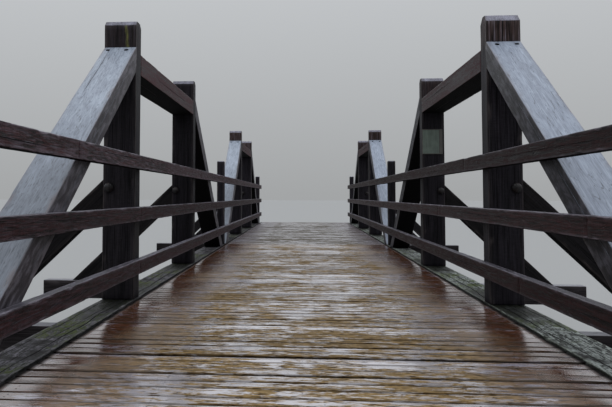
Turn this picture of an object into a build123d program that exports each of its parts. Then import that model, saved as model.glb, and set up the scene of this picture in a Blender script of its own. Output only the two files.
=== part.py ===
"""Wooden footbridge of two equal queen post spans, one bay of end brace, one of top beam
and one of end brace in each truss. X runs across the bridge, Y along it and Z up. The origin
is on the ground under the middle of the bridge. All lengths are in millimetres."""

from build123d import *
import os
from math import atan, cos, degrees, sin, tan

# Layout
deck_level = 2000.0  # top of the boards above the ground
span = 11400.0  # rail post to rail post, along each truss
queen_spacing = 3500.0  # middle of one queen post to the middle of the other
truss_clearance = 3150.0  # between the inner faces of the two trusses
end_tail = 110.0  # chords and deck past the middle of the end rail posts
butt_gap = 2.0  # between timbers laid end to end
seat_gap = 0.3  # round every tenon and let-in shoulder

# Truss timbers, all of one width so that their faces are flush
truss_width = 300.0  # across the bridge
post_depth = 200.0  # queen posts, along the bridge
post_height = 2545.0  # top of the queen posts above the deck
head_chamfer = 45.0  # on the two top edges of each queen post that run across the bridge
chord_drop = 15.0  # top of the chords below the deck
chord_depth = 250.0
brace_depth = 200.0  # square to the slope
brace_head_height = 2297.0  # upper edge of the brace on the post, above the deck
brace_head_step = 30.0  # how far the brace is let into the post
brace_toe_setback = 295.0  # from the middle of the rail post to the toe on the chord
brace_foot_step = 45.0  # how far the brace is let into the chord
beam_depth = 200.0  # top beam between the queen posts
beam_height = 2262.0  # its upper face above the deck

# Tenons
foot_tenon_width = 80.0
foot_tenon_length = 130.0
foot_tenon_depth = 100.0
beam_tenon_width = 80.0
beam_tenon_length = 60.0
beam_tenon_shoulder = 30.0  # above and below the tenon
knee_tenon_thickness = 50.0
knee_tenon_length = 80.0
knee_tenon_top = 20.0  # below the upper edge of the knee brace
knee_tenon_depth = 200.0  # up and down the post

# Knee braces and the floor beams that carry them outside the trusses
knee_thickness = 150.0  # along the bridge
knee_depth = 190.0  # square to the slope
knee_head_height = 1080.0  # upper edge on the post, above the deck
knee_reach = 3290.0  # from the centre line to the toe on the floor beam
knee_foot_step = 40.0  # how far the knee brace is let into the floor beam
floor_beam_width = 200.0  # along the bridge
floor_beam_depth = 250.0
floor_beam_length = 7400.0

# Bolt holes
knee_bolt_hole = 24.0
knee_bolt_setback = 35.0  # from the outer face of the post
knee_bolt_drop = 80.0  # below the upper edge of the knee brace
brace_bolt_hole = 22.0
brace_bolt_depth = 80.0
brace_bolt_sink = 42.0  # diameter of the sunk seat
brace_bolt_sink_depth = 34.0
brace_bolt_setback = 55.0  # from the post, level
brace_bolt_outer_edge = 49.0  # from the outer face of the brace
brace_bolt_spacing = 170.0

# Railing
rail_post_size = 140.0
rail_post_height = 1600.0  # above the deck
rail_post_chamfer = 10.0
rail_thickness = 70.0
rail_depth = 130.0
rail_heights = (222.0, 695.0, 1164.0)  # underside of each rail above the deck
rail_length = 5700.0  # longest piece of rail
rail_edge = 6.0  # chamfer along the long edges
left_rail_joints = ((-7600.0,), (-7600.0,), (-9430.0,))  # near joints of each rail, along Y
right_rail_joints = ((-8650.0,), (-9930.0, -5500.0), (-6900.0,))

# Deck
board_thickness = 50.0
deck_edge_gap = 40.0  # from the deck to the trusses
joist_width = 100.0
joist_spacing = 700.0
joist_count = 5

# Trestles under the ends and the middle
trestle_width = 250.0  # along the bridge
cap_depth = 300.0
cap_length = 4100.0
sill_depth = 250.0
sill_length = 4700.0
leg_size = 250.0
leg_spacing = 1725.0
sway_thickness = 50.0
sway_depth = 200.0
sway_end = 1850.0  # from the centre line to the upright end of each sway brace
sway_edge = 150.0  # middle of each end above the ground, and below the top of the cap

# Worked out from the sizes above
truss_inner = truss_clearance / 2
truss_outer = truss_inner + truss_width
truss_middle = truss_inner + truss_width / 2
half_length = span + end_tail
chord_top = deck_level - chord_drop
chord_bottom = chord_top - chord_depth
post_top = deck_level + post_height
deck_half = truss_inner - deck_edge_gap
joist_depth = deck_level - board_thickness - chord_bottom
cap_bottom = chord_bottom - cap_depth

# Slope of the end braces, with points given as distance out from the queen post and height
post_face = post_depth / 2
brace_head = deck_level + brace_head_height
brace_reach = span / 2 - queen_spacing / 2 - brace_toe_setback
brace_angle = atan((brace_head - chord_top) / (brace_reach - post_face))
brace_points = (
    (post_face, brace_head),
    (post_face - brace_head_step, brace_head - brace_head_step / tan(brace_angle)),
    (post_face, brace_head - brace_depth / cos(brace_angle)),
    (brace_reach - brace_depth / sin(brace_angle), chord_top),
    (brace_reach - brace_foot_step * tan(brace_angle), chord_top - brace_foot_step),
    (brace_reach, chord_top),
)

# Slope of the knee braces, with points given as distance from the centre line and height
knee_head = deck_level + knee_head_height
knee_angle = atan((knee_head - chord_bottom) / (knee_reach - truss_outer))
knee_points = (
    (truss_outer + seat_gap, knee_head),
    (knee_reach, chord_bottom),
    (knee_reach - knee_foot_step * tan(knee_angle), chord_bottom - knee_foot_step),
    (knee_reach - knee_depth / sin(knee_angle), chord_bottom),
    (truss_outer + seat_gap, knee_head - knee_depth / cos(knee_angle)),
)

# Stations along the bridge
span_middles = {"near": -span / 2, "far": span / 2}
sides = {"left": -1, "right": 1}
queens = {
    "first": (span_middles["near"] - queen_spacing / 2, -1),
    "second": (span_middles["near"] + queen_spacing / 2, 1),
    "third": (span_middles["far"] - queen_spacing / 2, -1),
    "fourth": (span_middles["far"] + queen_spacing / 2, 1),
}
trestles = {"near": -span, "middle": 0.0, "far": span}


def save(piece, name):
    """Label a finished piece and write it under its name."""
    piece.part.label = name
    export_step(piece.part, f"parts/{name}.step")


def truss_plane(side):
    """Side elevation at the face of a truss that has the lower X, with Y and Z in the plane."""
    return Plane.YZ.offset(min(side * truss_inner, side * truss_outer))


def brace_outline(post_y, outward):
    """Side outline of an end brace that runs outward, along Y, from a queen post."""
    return [(post_y + outward * out, height) for out, height in brace_points]


def knee_outline(side):
    """Outline of a knee brace seen along the bridge."""
    return [(side * out, height) for out, height in knee_points]


def bottom_chord(side, middle_y):
    """Bottom chord of one truss, mortised for the queen posts and notched for the braces."""
    inner_end = butt_gap / 2 if middle_y > 0 else -butt_gap / 2
    outer_end = half_length if middle_y > 0 else -half_length
    with BuildPart() as chord:
        with BuildSketch(truss_plane(side)):
            with Locations(((inner_end + outer_end) / 2, chord_top - chord_depth / 2)):
                Rectangle(abs(outer_end - inner_end), chord_depth)
        extrude(amount=truss_width)
        for outward in (-1, 1):
            post_y = middle_y + outward * queen_spacing / 2
            with BuildSketch(Plane.XY.offset(chord_top)):
                with Locations((side * truss_middle, post_y)):
                    Rectangle(foot_tenon_width + 2 * seat_gap, foot_tenon_length + 2 * seat_gap)
            extrude(amount=-foot_tenon_depth - seat_gap, mode=Mode.SUBTRACT)
            with BuildSketch(truss_plane(side)):
                with BuildLine():
                    Polyline(*brace_outline(post_y, outward), close=True)
                make_face()
                offset(amount=seat_gap, kind=Kind.INTERSECTION)
            extrude(amount=truss_width, mode=Mode.SUBTRACT)
    return chord


def queen_post(side, post_y, outward):
    """Queen post with a head bevelled to both ends of the bridge, a foot tenon, a stepped seat
    for the end brace and mortises for the top beam and the knee brace."""
    with BuildPart() as post:
        with BuildSketch(Plane.XY.offset(chord_top)):
            with Locations((side * truss_middle, post_y)):
                Rectangle(truss_width, post_depth)
        extrude(amount=post_top - chord_top)
        chamfer(post.faces().sort_by(Axis.Z)[-1].edges().filter_by(Axis.X), head_chamfer)
        with BuildSketch(Plane.XY.offset(chord_top)):
            with Locations((side * truss_middle, post_y)):
                Rectangle(foot_tenon_width, foot_tenon_length)
        extrude(amount=-foot_tenon_depth)
        with BuildSketch(truss_plane(side)):
            with BuildLine():
                Polyline(*brace_outline(post_y, outward), close=True)
            make_face()
            offset(amount=seat_gap, kind=Kind.INTERSECTION)
        extrude(amount=truss_width, mode=Mode.SUBTRACT)
        beam_middle = deck_level + beam_height - beam_depth / 2
        with Locations((side * truss_middle, post_y - outward * post_face, beam_middle)):
            Box(
                beam_tenon_width + 2 * seat_gap,
                2 * (beam_tenon_length + seat_gap),
                beam_depth - 2 * beam_tenon_shoulder + 2 * seat_gap,
                mode=Mode.SUBTRACT,
            )
        tenon_middle = knee_head - knee_tenon_top - knee_tenon_depth / 2
        with Locations((side * truss_outer, post_y, tenon_middle)):
            Box(
                2 * (knee_tenon_length + seat_gap),
                knee_tenon_thickness + 2 * seat_gap,
                knee_tenon_depth + 2 * seat_gap,
                mode=Mode.SUBTRACT,
            )
        bolt_x = side * (truss_outer - knee_bolt_setback)
        with BuildSketch(Plane.XZ.offset(-post_y)):
            with Locations((bolt_x, knee_head - knee_bolt_drop)):
                Circle(knee_bolt_hole / 2)
        extrude(amount=post_depth, both=True, mode=Mode.SUBTRACT)
    return post


def end_brace(side, post_y, outward):
    """End brace, shouldered under the head of its post, let into the chord, and bored from
    above for two sunk bolts."""
    sink_y = post_y + outward * (post_face + brace_bolt_setback)
    sink_z = brace_head - brace_bolt_setback * tan(brace_angle)
    outer_hole = truss_outer - brace_bolt_outer_edge
    slope = Plane(
        origin=(0, sink_y, sink_z),
        x_dir=(1, 0, 0),
        z_dir=(0, outward * sin(brace_angle), cos(brace_angle)),
    )
    with BuildPart() as brace:
        with BuildSketch(truss_plane(side)):
            with BuildLine():
                Polyline(*brace_outline(post_y, outward), close=True)
            make_face()
        extrude(amount=truss_width)
        with Locations(slope):
            with Locations((side * outer_hole, 0), (side * (outer_hole - brace_bolt_spacing), 0)):
                CounterBoreHole(
                    brace_bolt_hole / 2, brace_bolt_sink / 2, brace_bolt_sink_depth, brace_bolt_depth
                )
    return brace


def top_beam(side, middle_y):
    """Straining beam between the two queen posts, tenoned into both."""
    length = queen_spacing - post_depth
    height = deck_level + beam_height - beam_depth / 2
    with BuildPart() as beam:
        with Locations((side * truss_middle, middle_y, height)):
            Box(truss_width, length, beam_depth)
            Box(
                beam_tenon_width,
                length + 2 * beam_tenon_length,
                beam_depth - 2 * beam_tenon_shoulder,
            )
    return beam


def knee_braces(post_y):
    """The pair of knee braces at one station, each tenoned and pinned into its post."""
    tenon_middle = knee_head - knee_tenon_top - knee_tenon_depth / 2
    with BuildPart() as braces:
        for side in sides.values():
            with BuildSketch(Plane.XZ.offset(-post_y)):
                with BuildLine():
                    Polyline(*knee_outline(side), close=True)
                make_face()
            extrude(amount=knee_thickness / 2, both=True)
            with Locations((side * (truss_outer + seat_gap), post_y, tenon_middle)):
                Box(
                    knee_tenon_length + seat_gap,
                    knee_tenon_thickness,
                    knee_tenon_depth,
                    align=(Align.MAX if side > 0 else Align.MIN, Align.CENTER, Align.CENTER),
                )
            bolt_x = side * (truss_outer - knee_bolt_setback)
            with BuildSketch(Plane.XZ.offset(-post_y)):
                with Locations((bolt_x, knee_head - knee_bolt_drop)):
                    Circle(knee_bolt_hole / 2)
            extrude(amount=knee_thickness, both=True, mode=Mode.SUBTRACT)
    return braces


def floor_beam(post_y):
    """Needle beam that hangs under both chords and runs out to carry the knee braces."""
    with BuildPart() as beam:
        with Locations((0, post_y, chord_bottom - floor_beam_depth / 2)):
            Box(floor_beam_length, floor_beam_width, floor_beam_depth)
        for side in sides.values():
            with BuildSketch(Plane.XZ.offset(-post_y)):
                with BuildLine():
                    Polyline(*knee_outline(side), close=True)
                make_face()
                offset(amount=seat_gap, kind=Kind.INTERSECTION)
            extrude(amount=knee_thickness / 2 + seat_gap, both=True, mode=Mode.SUBTRACT)
    return beam


def rail_joints(near):
    """Ends and joints of one rail: its near joints, then one at every full length."""
    rail_end = span + rail_post_size / 2
    joints = list(near)
    while joints[-1] + rail_length < rail_end:
        joints.append(joints[-1] + rail_length)
    return [-rail_end, *joints, rail_end]


def railing(side, near_joints):
    """Three rails on the inner faces of the posts, each in several lengths."""
    with BuildPart() as rails:
        for height, near in zip(rail_heights, near_joints):
            stops = rail_joints(near)
            for start, stop in zip(stops, stops[1:]):
                length = stop - start - butt_gap
                with BuildSketch(Plane.XZ.offset(-(start + stop) / 2)):
                    with Locations(
                        (side * (truss_inner - rail_thickness / 2), deck_level + height + rail_depth / 2)
                    ):
                        outline = Rectangle(rail_thickness, rail_depth)
                    chamfer(outline.vertices(), rail_edge)
                extrude(amount=length / 2, both=True)
    return rails


def rail_posts(post_y):
    """The pair of rail posts at one end of a span, standing on the chords."""
    with BuildPart() as posts:
        for side in sides.values():
            with BuildSketch(Plane.XY.offset(chord_top)):
                with Locations((side * (truss_inner + rail_post_size / 2), post_y)):
                    Rectangle(rail_post_size, rail_post_size)
            extrude(amount=rail_post_height + chord_drop)
        chamfer(posts.faces().group_by(Axis.Z)[-1].edges(), rail_post_chamfer)
    return posts


def deck(middle_y):
    """Boards of one span, as the sheet that they make together."""
    inner_end = butt_gap / 2 if middle_y > 0 else -butt_gap / 2
    outer_end = half_length if middle_y > 0 else -half_length
    with BuildPart() as boards:
        with Locations((0, (inner_end + outer_end) / 2, deck_level - board_thickness / 2)):
            Box(2 * deck_half, abs(outer_end - inner_end), board_thickness)
    return boards


def joists(middle_y):
    """Lines of joists under the deck of one span, butted over the floor beams."""
    sign = 1 if middle_y > 0 else -1
    stops = sorted(
        (0.0, middle_y - queen_spacing / 2, middle_y + queen_spacing / 2, sign * half_length)
    )
    with BuildPart() as lines:
        for start, stop in zip(stops, stops[1:]):
            with BuildSketch(Plane.XY.offset(chord_bottom)):
                with Locations((0, (start + stop) / 2)):
                    with GridLocations(joist_spacing, 1, joist_count, 1):
                        Rectangle(joist_width, stop - start - butt_gap)
            extrude(amount=joist_depth)
    return lines


def trestle_cap(trestle_y):
    """Cap beam that carries the chords and the joists."""
    with BuildPart() as cap:
        with Locations((0, trestle_y, chord_bottom - cap_depth / 2)):
            Box(cap_length, trestle_width, cap_depth)
    return cap


def trestle_legs(trestle_y):
    """Three upright legs from the sill to the cap."""
    with BuildPart() as legs:
        with BuildSketch(Plane.XY.offset(sill_depth)):
            with Locations((0, trestle_y)):
                with GridLocations(leg_spacing, 1, 3, 1):
                    Rectangle(leg_size, leg_size)
        extrude(amount=cap_bottom - sill_depth)
    return legs


def trestle_sill(trestle_y):
    """Sill on the ground."""
    with BuildPart() as sill:
        with Locations((0, trestle_y, sill_depth / 2)):
            Box(sill_length, trestle_width, sill_depth)
    return sill


def sway_braces(trestle_y):
    """Two planks that cross, one on each face of the trestle."""
    low = sway_edge
    high = chord_bottom - sway_edge
    half_drop = sway_depth / 2 / cos(atan((high - low) / (2 * sway_end)))
    with BuildPart() as planks:
        for face in (-1, 1):
            near_y = trestle_y + face * (trestle_width / 2 + sway_thickness / 2)
            with BuildSketch(Plane.XZ.offset(-near_y)):
                with BuildLine():
                    Polyline(
                        (-face * sway_end, low - half_drop),
                        (face * sway_end, high - half_drop),
                        (face * sway_end, high + half_drop),
                        (-face * sway_end, low + half_drop),
                        close=True,
                    )
                make_face()
            extrude(amount=sway_thickness / 2, both=True)
    return planks


os.makedirs("parts", exist_ok=True)

for span_name, middle_y in span_middles.items():
    save(deck(middle_y), f"{span_name}_deck")
    save(joists(middle_y), f"{span_name}_joists")
    for side_name, side in sides.items():
        save(bottom_chord(side, middle_y), f"{span_name}_{side_name}_bottom_chord")
        save(top_beam(side, middle_y), f"{span_name}_{side_name}_top_beam")

for queen_name, (post_y, outward) in queens.items():
    save(floor_beam(post_y), f"{queen_name}_floor_beam")
    save(knee_braces(post_y), f"{queen_name}_knee_braces")
    for side_name, side in sides.items():
        save(queen_post(side, post_y, outward), f"{queen_name}_{side_name}_queen_post")
        save(end_brace(side, post_y, outward), f"{queen_name}_{side_name}_end_brace")

for trestle_name, trestle_y in trestles.items():
    save(rail_posts(trestle_y), f"{trestle_name}_rail_posts")
    save(trestle_cap(trestle_y), f"{trestle_name}_trestle_cap")
    save(trestle_legs(trestle_y), f"{trestle_name}_trestle_legs")
    save(trestle_sill(trestle_y), f"{trestle_name}_trestle_sill")
    save(sway_braces(trestle_y), f"{trestle_name}_sway_braces")

save(railing(sides["left"], left_rail_joints), "left_rails")
save(railing(sides["right"], right_rail_joints), "right_rails")

print("end brace slope", round(degrees(brace_angle), 2), "knee brace slope", round(degrees(knee_angle), 2))
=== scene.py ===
"""Wooden footbridge of two queen post spans, dressed as weathered, rain-wet timber.

Every stick is a rounded rectangle carried along its axis: a grid of stations by outline points,
worked out as whole arrays, with real drying checks, worn arrises and cut ends. Lengths are in
metres. X runs across the bridge, Y along it and Z up.
"""

import logging
import math
from dataclasses import dataclass, field, replace
from enum import Enum
from typing import Iterable, Sequence

import bpy
import numpy as np
from mathutils import Matrix, Vector


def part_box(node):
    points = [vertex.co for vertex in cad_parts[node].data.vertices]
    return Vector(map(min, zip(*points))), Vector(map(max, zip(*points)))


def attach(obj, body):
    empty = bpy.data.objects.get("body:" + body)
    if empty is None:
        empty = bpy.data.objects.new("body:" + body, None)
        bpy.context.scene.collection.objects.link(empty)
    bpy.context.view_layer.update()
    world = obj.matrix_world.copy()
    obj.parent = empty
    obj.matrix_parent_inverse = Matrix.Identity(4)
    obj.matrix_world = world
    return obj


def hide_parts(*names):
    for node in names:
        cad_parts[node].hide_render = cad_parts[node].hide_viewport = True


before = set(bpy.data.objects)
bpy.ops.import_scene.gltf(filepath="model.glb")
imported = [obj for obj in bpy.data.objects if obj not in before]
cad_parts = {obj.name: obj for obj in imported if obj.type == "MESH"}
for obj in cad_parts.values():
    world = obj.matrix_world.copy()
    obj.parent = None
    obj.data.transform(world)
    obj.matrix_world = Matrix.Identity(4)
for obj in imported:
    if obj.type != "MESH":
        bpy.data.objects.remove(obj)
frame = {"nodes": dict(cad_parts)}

logging.basicConfig(level=logging.INFO, format="%(message)s")
log = logging.getLogger("footbridge")

BODY = "root"
FRAME_WIDTH = 612.0  # pixels across the picture that the camera is set for
END_GRAIN = 0.14  # how dark a sawn end soaks, as a share of the dark in a check
CRISP_DEG = 40.0  # edges of a timber that turn by more than this stay crisp
TURNED_CRISP_DEG = 60.0  # the same for bolt heads, whose domes are smooth
ACROSS = np.array((1.0, 0.0, 0.0))
ALONG = np.array((0.0, 1.0, 0.0))
UP = np.array((0.0, 0.0, 1.0))

Array = np.ndarray
Pair = tuple[float, float]
Pairs = Sequence[Pair]

TABLE = 61  # entries each way in the table of random heights
# Lengths over which a timber's surface changes, along it and, where there are two, round it.
ARRIS_RUN = 0.21
CHIP_RUN = 0.09
WAVE_RUN = (0.8, 0.16)
RIPPLE_RUN = (0.07, 0.02)
# The same for how wide a check is open, for its long bends and for its short ones.
OPENING_RUN = 0.16
BEND_RUN = 0.45
TWITCH_RUN = 0.08

# Pairs of distance from a timber's end and inset of its outline there.
OPEN_END: Pairs = ((0.0, 0.004), (0.0015, 0.0014), (0.005, 0.0))
JOINED_END: Pairs = ((0.0, 0.001), (0.002, 0.0))
PLANK_END: Pairs = ((0.0, 0.002), (0.003, 0.0))
BLUNT_END: Pairs = ((0.0, 0.008), (0.002, 0.003), (0.008, 0.0))
RAIL_POST_END: Pairs = ((0.0, 0.012), (0.002, 0.009), (0.009, 0.002), (0.012, 0.0))

SPANS = ("near", "far")
TRESTLES = ("near", "middle", "far")
QUEEN_POSTS = {"near": ("first", "second"), "far": ("third", "fourth")}


class Side(Enum):
    """The two sides of the bridge, with the sign of X on each."""

    LEFT = -1
    RIGHT = 1

    @property
    def word(self) -> str:
        """The side as it stands in the names of solids and pieces."""
        return self.name.lower()


class Station(Enum):
    """The four queen posts of a truss, along the walk."""

    FIRST = "first"
    SECOND = "second"
    THIRD = "third"
    FOURTH = "fourth"

    @property
    def outward(self) -> int:
        """Sign of Y from the post to the toe of its end brace."""
        return -1 if self in (Station.FIRST, Station.THIRD) else 1


class Face(Enum):
    """The four long faces of a timber, in the order in which its outline runs round them."""

    RIGHT = 0
    UPPER = 1
    LEFT = 2
    UNDER = 3


# Surfaces


@dataclass(frozen=True)
class Relief:
    """Smooth random relief, the same on every run.

    A table of random heights is read with smooth steps: a value is the sum of the four entries
    round it, each times its share, and the shares are eased so that the slope is level at an entry.
    """

    seed: int

    def at(self, along: Array, across: Array | float) -> Array:
        """Height from 0 to 1.

        Args:
            along: Place in table steps, one way.
            across: Place in table steps, the other way.

        Returns:
            Heights in the shape that the two places make together.
        """
        table = np.random.default_rng(self.seed).random((TABLE, TABLE))
        along, across = np.broadcast_arrays(np.asarray(along, float), np.asarray(across, float))
        i, j = np.floor(along).astype(int), np.floor(across).astype(int)
        f, g = along - i, across - j
        f, g = f * f * (3 - 2 * f), g * g * (3 - 2 * g)
        i, j, right, above = i % TABLE, j % TABLE, (i + 1) % TABLE, (j + 1) % TABLE
        low = table[i, j] * (1 - f) + table[right, j] * f
        high = table[i, above] * (1 - f) + table[right, above] * f
        return low * (1 - g) + high * g


@dataclass(frozen=True)
class Axes:
    """Where a timber lies: a point on its middle line and three unit directions."""

    origin: Array
    along: Array
    across: Array
    up: Array

    @classmethod
    def lay(cls, origin: Iterable[float], along: Array, up: Array) -> "Axes":
        """Axes with their third direction worked out as up x along."""
        along, up = np.asarray(along, float), np.asarray(up, float)
        return cls(np.asarray(tuple(origin), float), along, np.cross(up, along), up)

    def place(self, s: Array, u: Array, v: Array) -> Array:
        """Points at station s, u across and v up."""
        s, u, v = (part[..., None] for part in (s, u, v))
        return self.origin + s * self.along + u * self.across + v * self.up

    def read(self, points: Array) -> Array:
        """Station, across and up of each point, as columns."""
        return (points - self.origin) @ np.stack((self.along, self.across, self.up), axis=1)


def tube(rows: int, around: int) -> tuple[Array, Array]:
    """Numbers the points of a tube, ring by ring.

    Args:
        rows: How many rings.
        around: Points in each.

    Returns:
        The number of each point, one row a ring, and the four points of each face between rings.
    """
    index = np.arange(rows * around).reshape(rows, around)
    right = np.roll(index, -1, axis=1)
    return index, np.stack((index[:-1], right[:-1], right[1:], index[1:]), axis=-1).reshape(-1, 4)


@dataclass
class Shell:
    """A closed surface before it is a mesh.

    Attributes:
        points: One row a point.
        faces: Blocks of faces, each an array with one row a face.
        grain: Place in the timber's own axes, which the wood patterns follow.
        wear: How open to the sky, how near an arris, the stick's tone and how deep in a check.
        The first and the last also set where the finishes paint shade.
        ends: Whether each block of faces is a cut end.
    """

    points: Array
    faces: list[Array]
    grain: Array
    wear: Array
    ends: list[bool]

    @classmethod
    def joined(cls, shells: Sequence["Shell"]) -> "Shell":
        """One shell of several, with each one's faces counted on from the last one's points."""
        counts = np.cumsum([0] + [len(s.points) for s in shells])
        return cls(
            np.concatenate([s.points for s in shells]),
            [f + n for s, n in zip(shells, counts) for f in s.faces],
            np.concatenate([s.grain for s in shells]),
            np.concatenate([s.wear for s in shells]),
            [e for s in shells for e in s.ends],
        )

    def piece(self, name: str, finish: bpy.types.Material,
              crisp_deg: float = CRISP_DEG) -> bpy.types.Object:
        """Makes the mesh and its object.

        Args:
            name: Name of the piece.
            finish: Its material.
            crisp_deg: Edges that turn by more than this stay crisp.

        Returns:
            The object, at the origin.
        """
        mesh = bpy.data.meshes.new(name)
        corners = np.concatenate([f.ravel() for f in self.faces])
        sizes = np.concatenate([np.full(len(f), f.shape[1]) for f in self.faces])
        mesh.vertices.add(len(self.points))
        mesh.vertices.foreach_set("co", self.points.astype(np.float32).ravel())
        mesh.loops.add(len(corners))
        mesh.polygons.add(len(sizes))
        mesh.polygons.foreach_set("loop_start", (np.cumsum(sizes) - sizes).astype(np.int32))
        mesh.loops.foreach_set("vertex_index", corners.astype(np.int32))
        mesh.update(calc_edges=True)
        mesh.shade_smooth()
        mesh.set_sharp_from_angle(angle=math.radians(crisp_deg))
        normals = np.empty(3 * len(corners), np.float32)
        mesh.corner_normals.foreach_get("vector", normals)
        wear = self.wear[corners]
        wear[:, 0] = 0.5 + 0.5 * normals[2::3]
        first = 0
        for block, end in zip(self.faces, self.ends):
            if end:
                wear[first : first + block.size, 1] = 0.0
                wear[first : first + block.size, 3] = END_GRAIN
            first += block.size
        for layer, kind, part, values in (
                ("grain", "FLOAT_VECTOR", "vector", self.grain[corners]),
                ("wear", "FLOAT_COLOR", "color", wear)):
            data = mesh.attributes.new(layer, kind, "CORNER").data
            data.foreach_set(part, values.astype(np.float32).ravel())
        mesh.materials.append(finish)
        made = bpy.data.objects.new(name, mesh)
        bpy.context.scene.collection.objects.link(made)
        return made


@dataclass(frozen=True)
class Check:
    """A drying check: a V-shaped groove that wanders along one face and closes at both ends.

    Attributes:
        face: Face that it runs in.
        place: Share of the way across the face.
        start: Share of the length at which it opens.
        stop: Share of the length at which it closes.
        width: At its widest.
        depth: At its widest.
        wander: How far it strays to each side.
    """

    face: Face
    place: float
    start: float
    stop: float
    width: float = 0.006
    depth: float = 0.022
    wander: float = 0.008


@dataclass(frozen=True)
class End:
    """One end of a timber.

    Attributes:
        cut: The end's side outline, as pairs of height from the middle line and station, from
            the under face to the upper, with straight runs between.
        worn: Pairs of distance from the end and inset of the outline there.
        share: How much of the inset is taken across and how much up and down.
    """

    cut: Pairs
    worn: Pairs = OPEN_END
    share: Pair = (1.0, 1.0)

    @classmethod
    def square(cls, station: float, worn: Pairs = OPEN_END) -> "End":
        """An end cut square at a station."""
        return cls(((0.0, station),), worn)

    @classmethod
    def bevelled(cls, station: float, bevel: float) -> "End":
        """A square end whose upper and under edges are cut off at 45 degrees, with soft corners."""
        near, far = bevel - 0.002, bevel + 0.003
        worn = ((0.0, far), (0.003, near), (near, 0.003), (far, 0.0))
        return cls(((0.0, station),), worn, (0.06, 1.0))

    def station(self, height: Array) -> Array:
        """Station of the end at each height."""
        return np.interp(height, [c[0] for c in self.cut], [c[1] for c in self.cut])


@dataclass(frozen=True)
class Outline:
    """Points round a timber's section, each the sum of a fixed part and a part times the arris radius.

    Attributes:
        fixed: Across and up with no arris radius.
        turned: What each metre of arris radius adds.
        normal: Outward direction.
        tangent: Direction in which the outline runs.
        arris: How near a point is to an arris, from 0 to 1.
        corner: Which arris gives the radius.
        check: Number of the point's check, or -1.
        lip: -1 and 1 at the lips of a check, 0 elsewhere.
    """

    fixed: Array
    turned: Array
    normal: Array
    tangent: Array
    arris: Array
    corner: Array
    check: Array
    lip: Array


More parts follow.
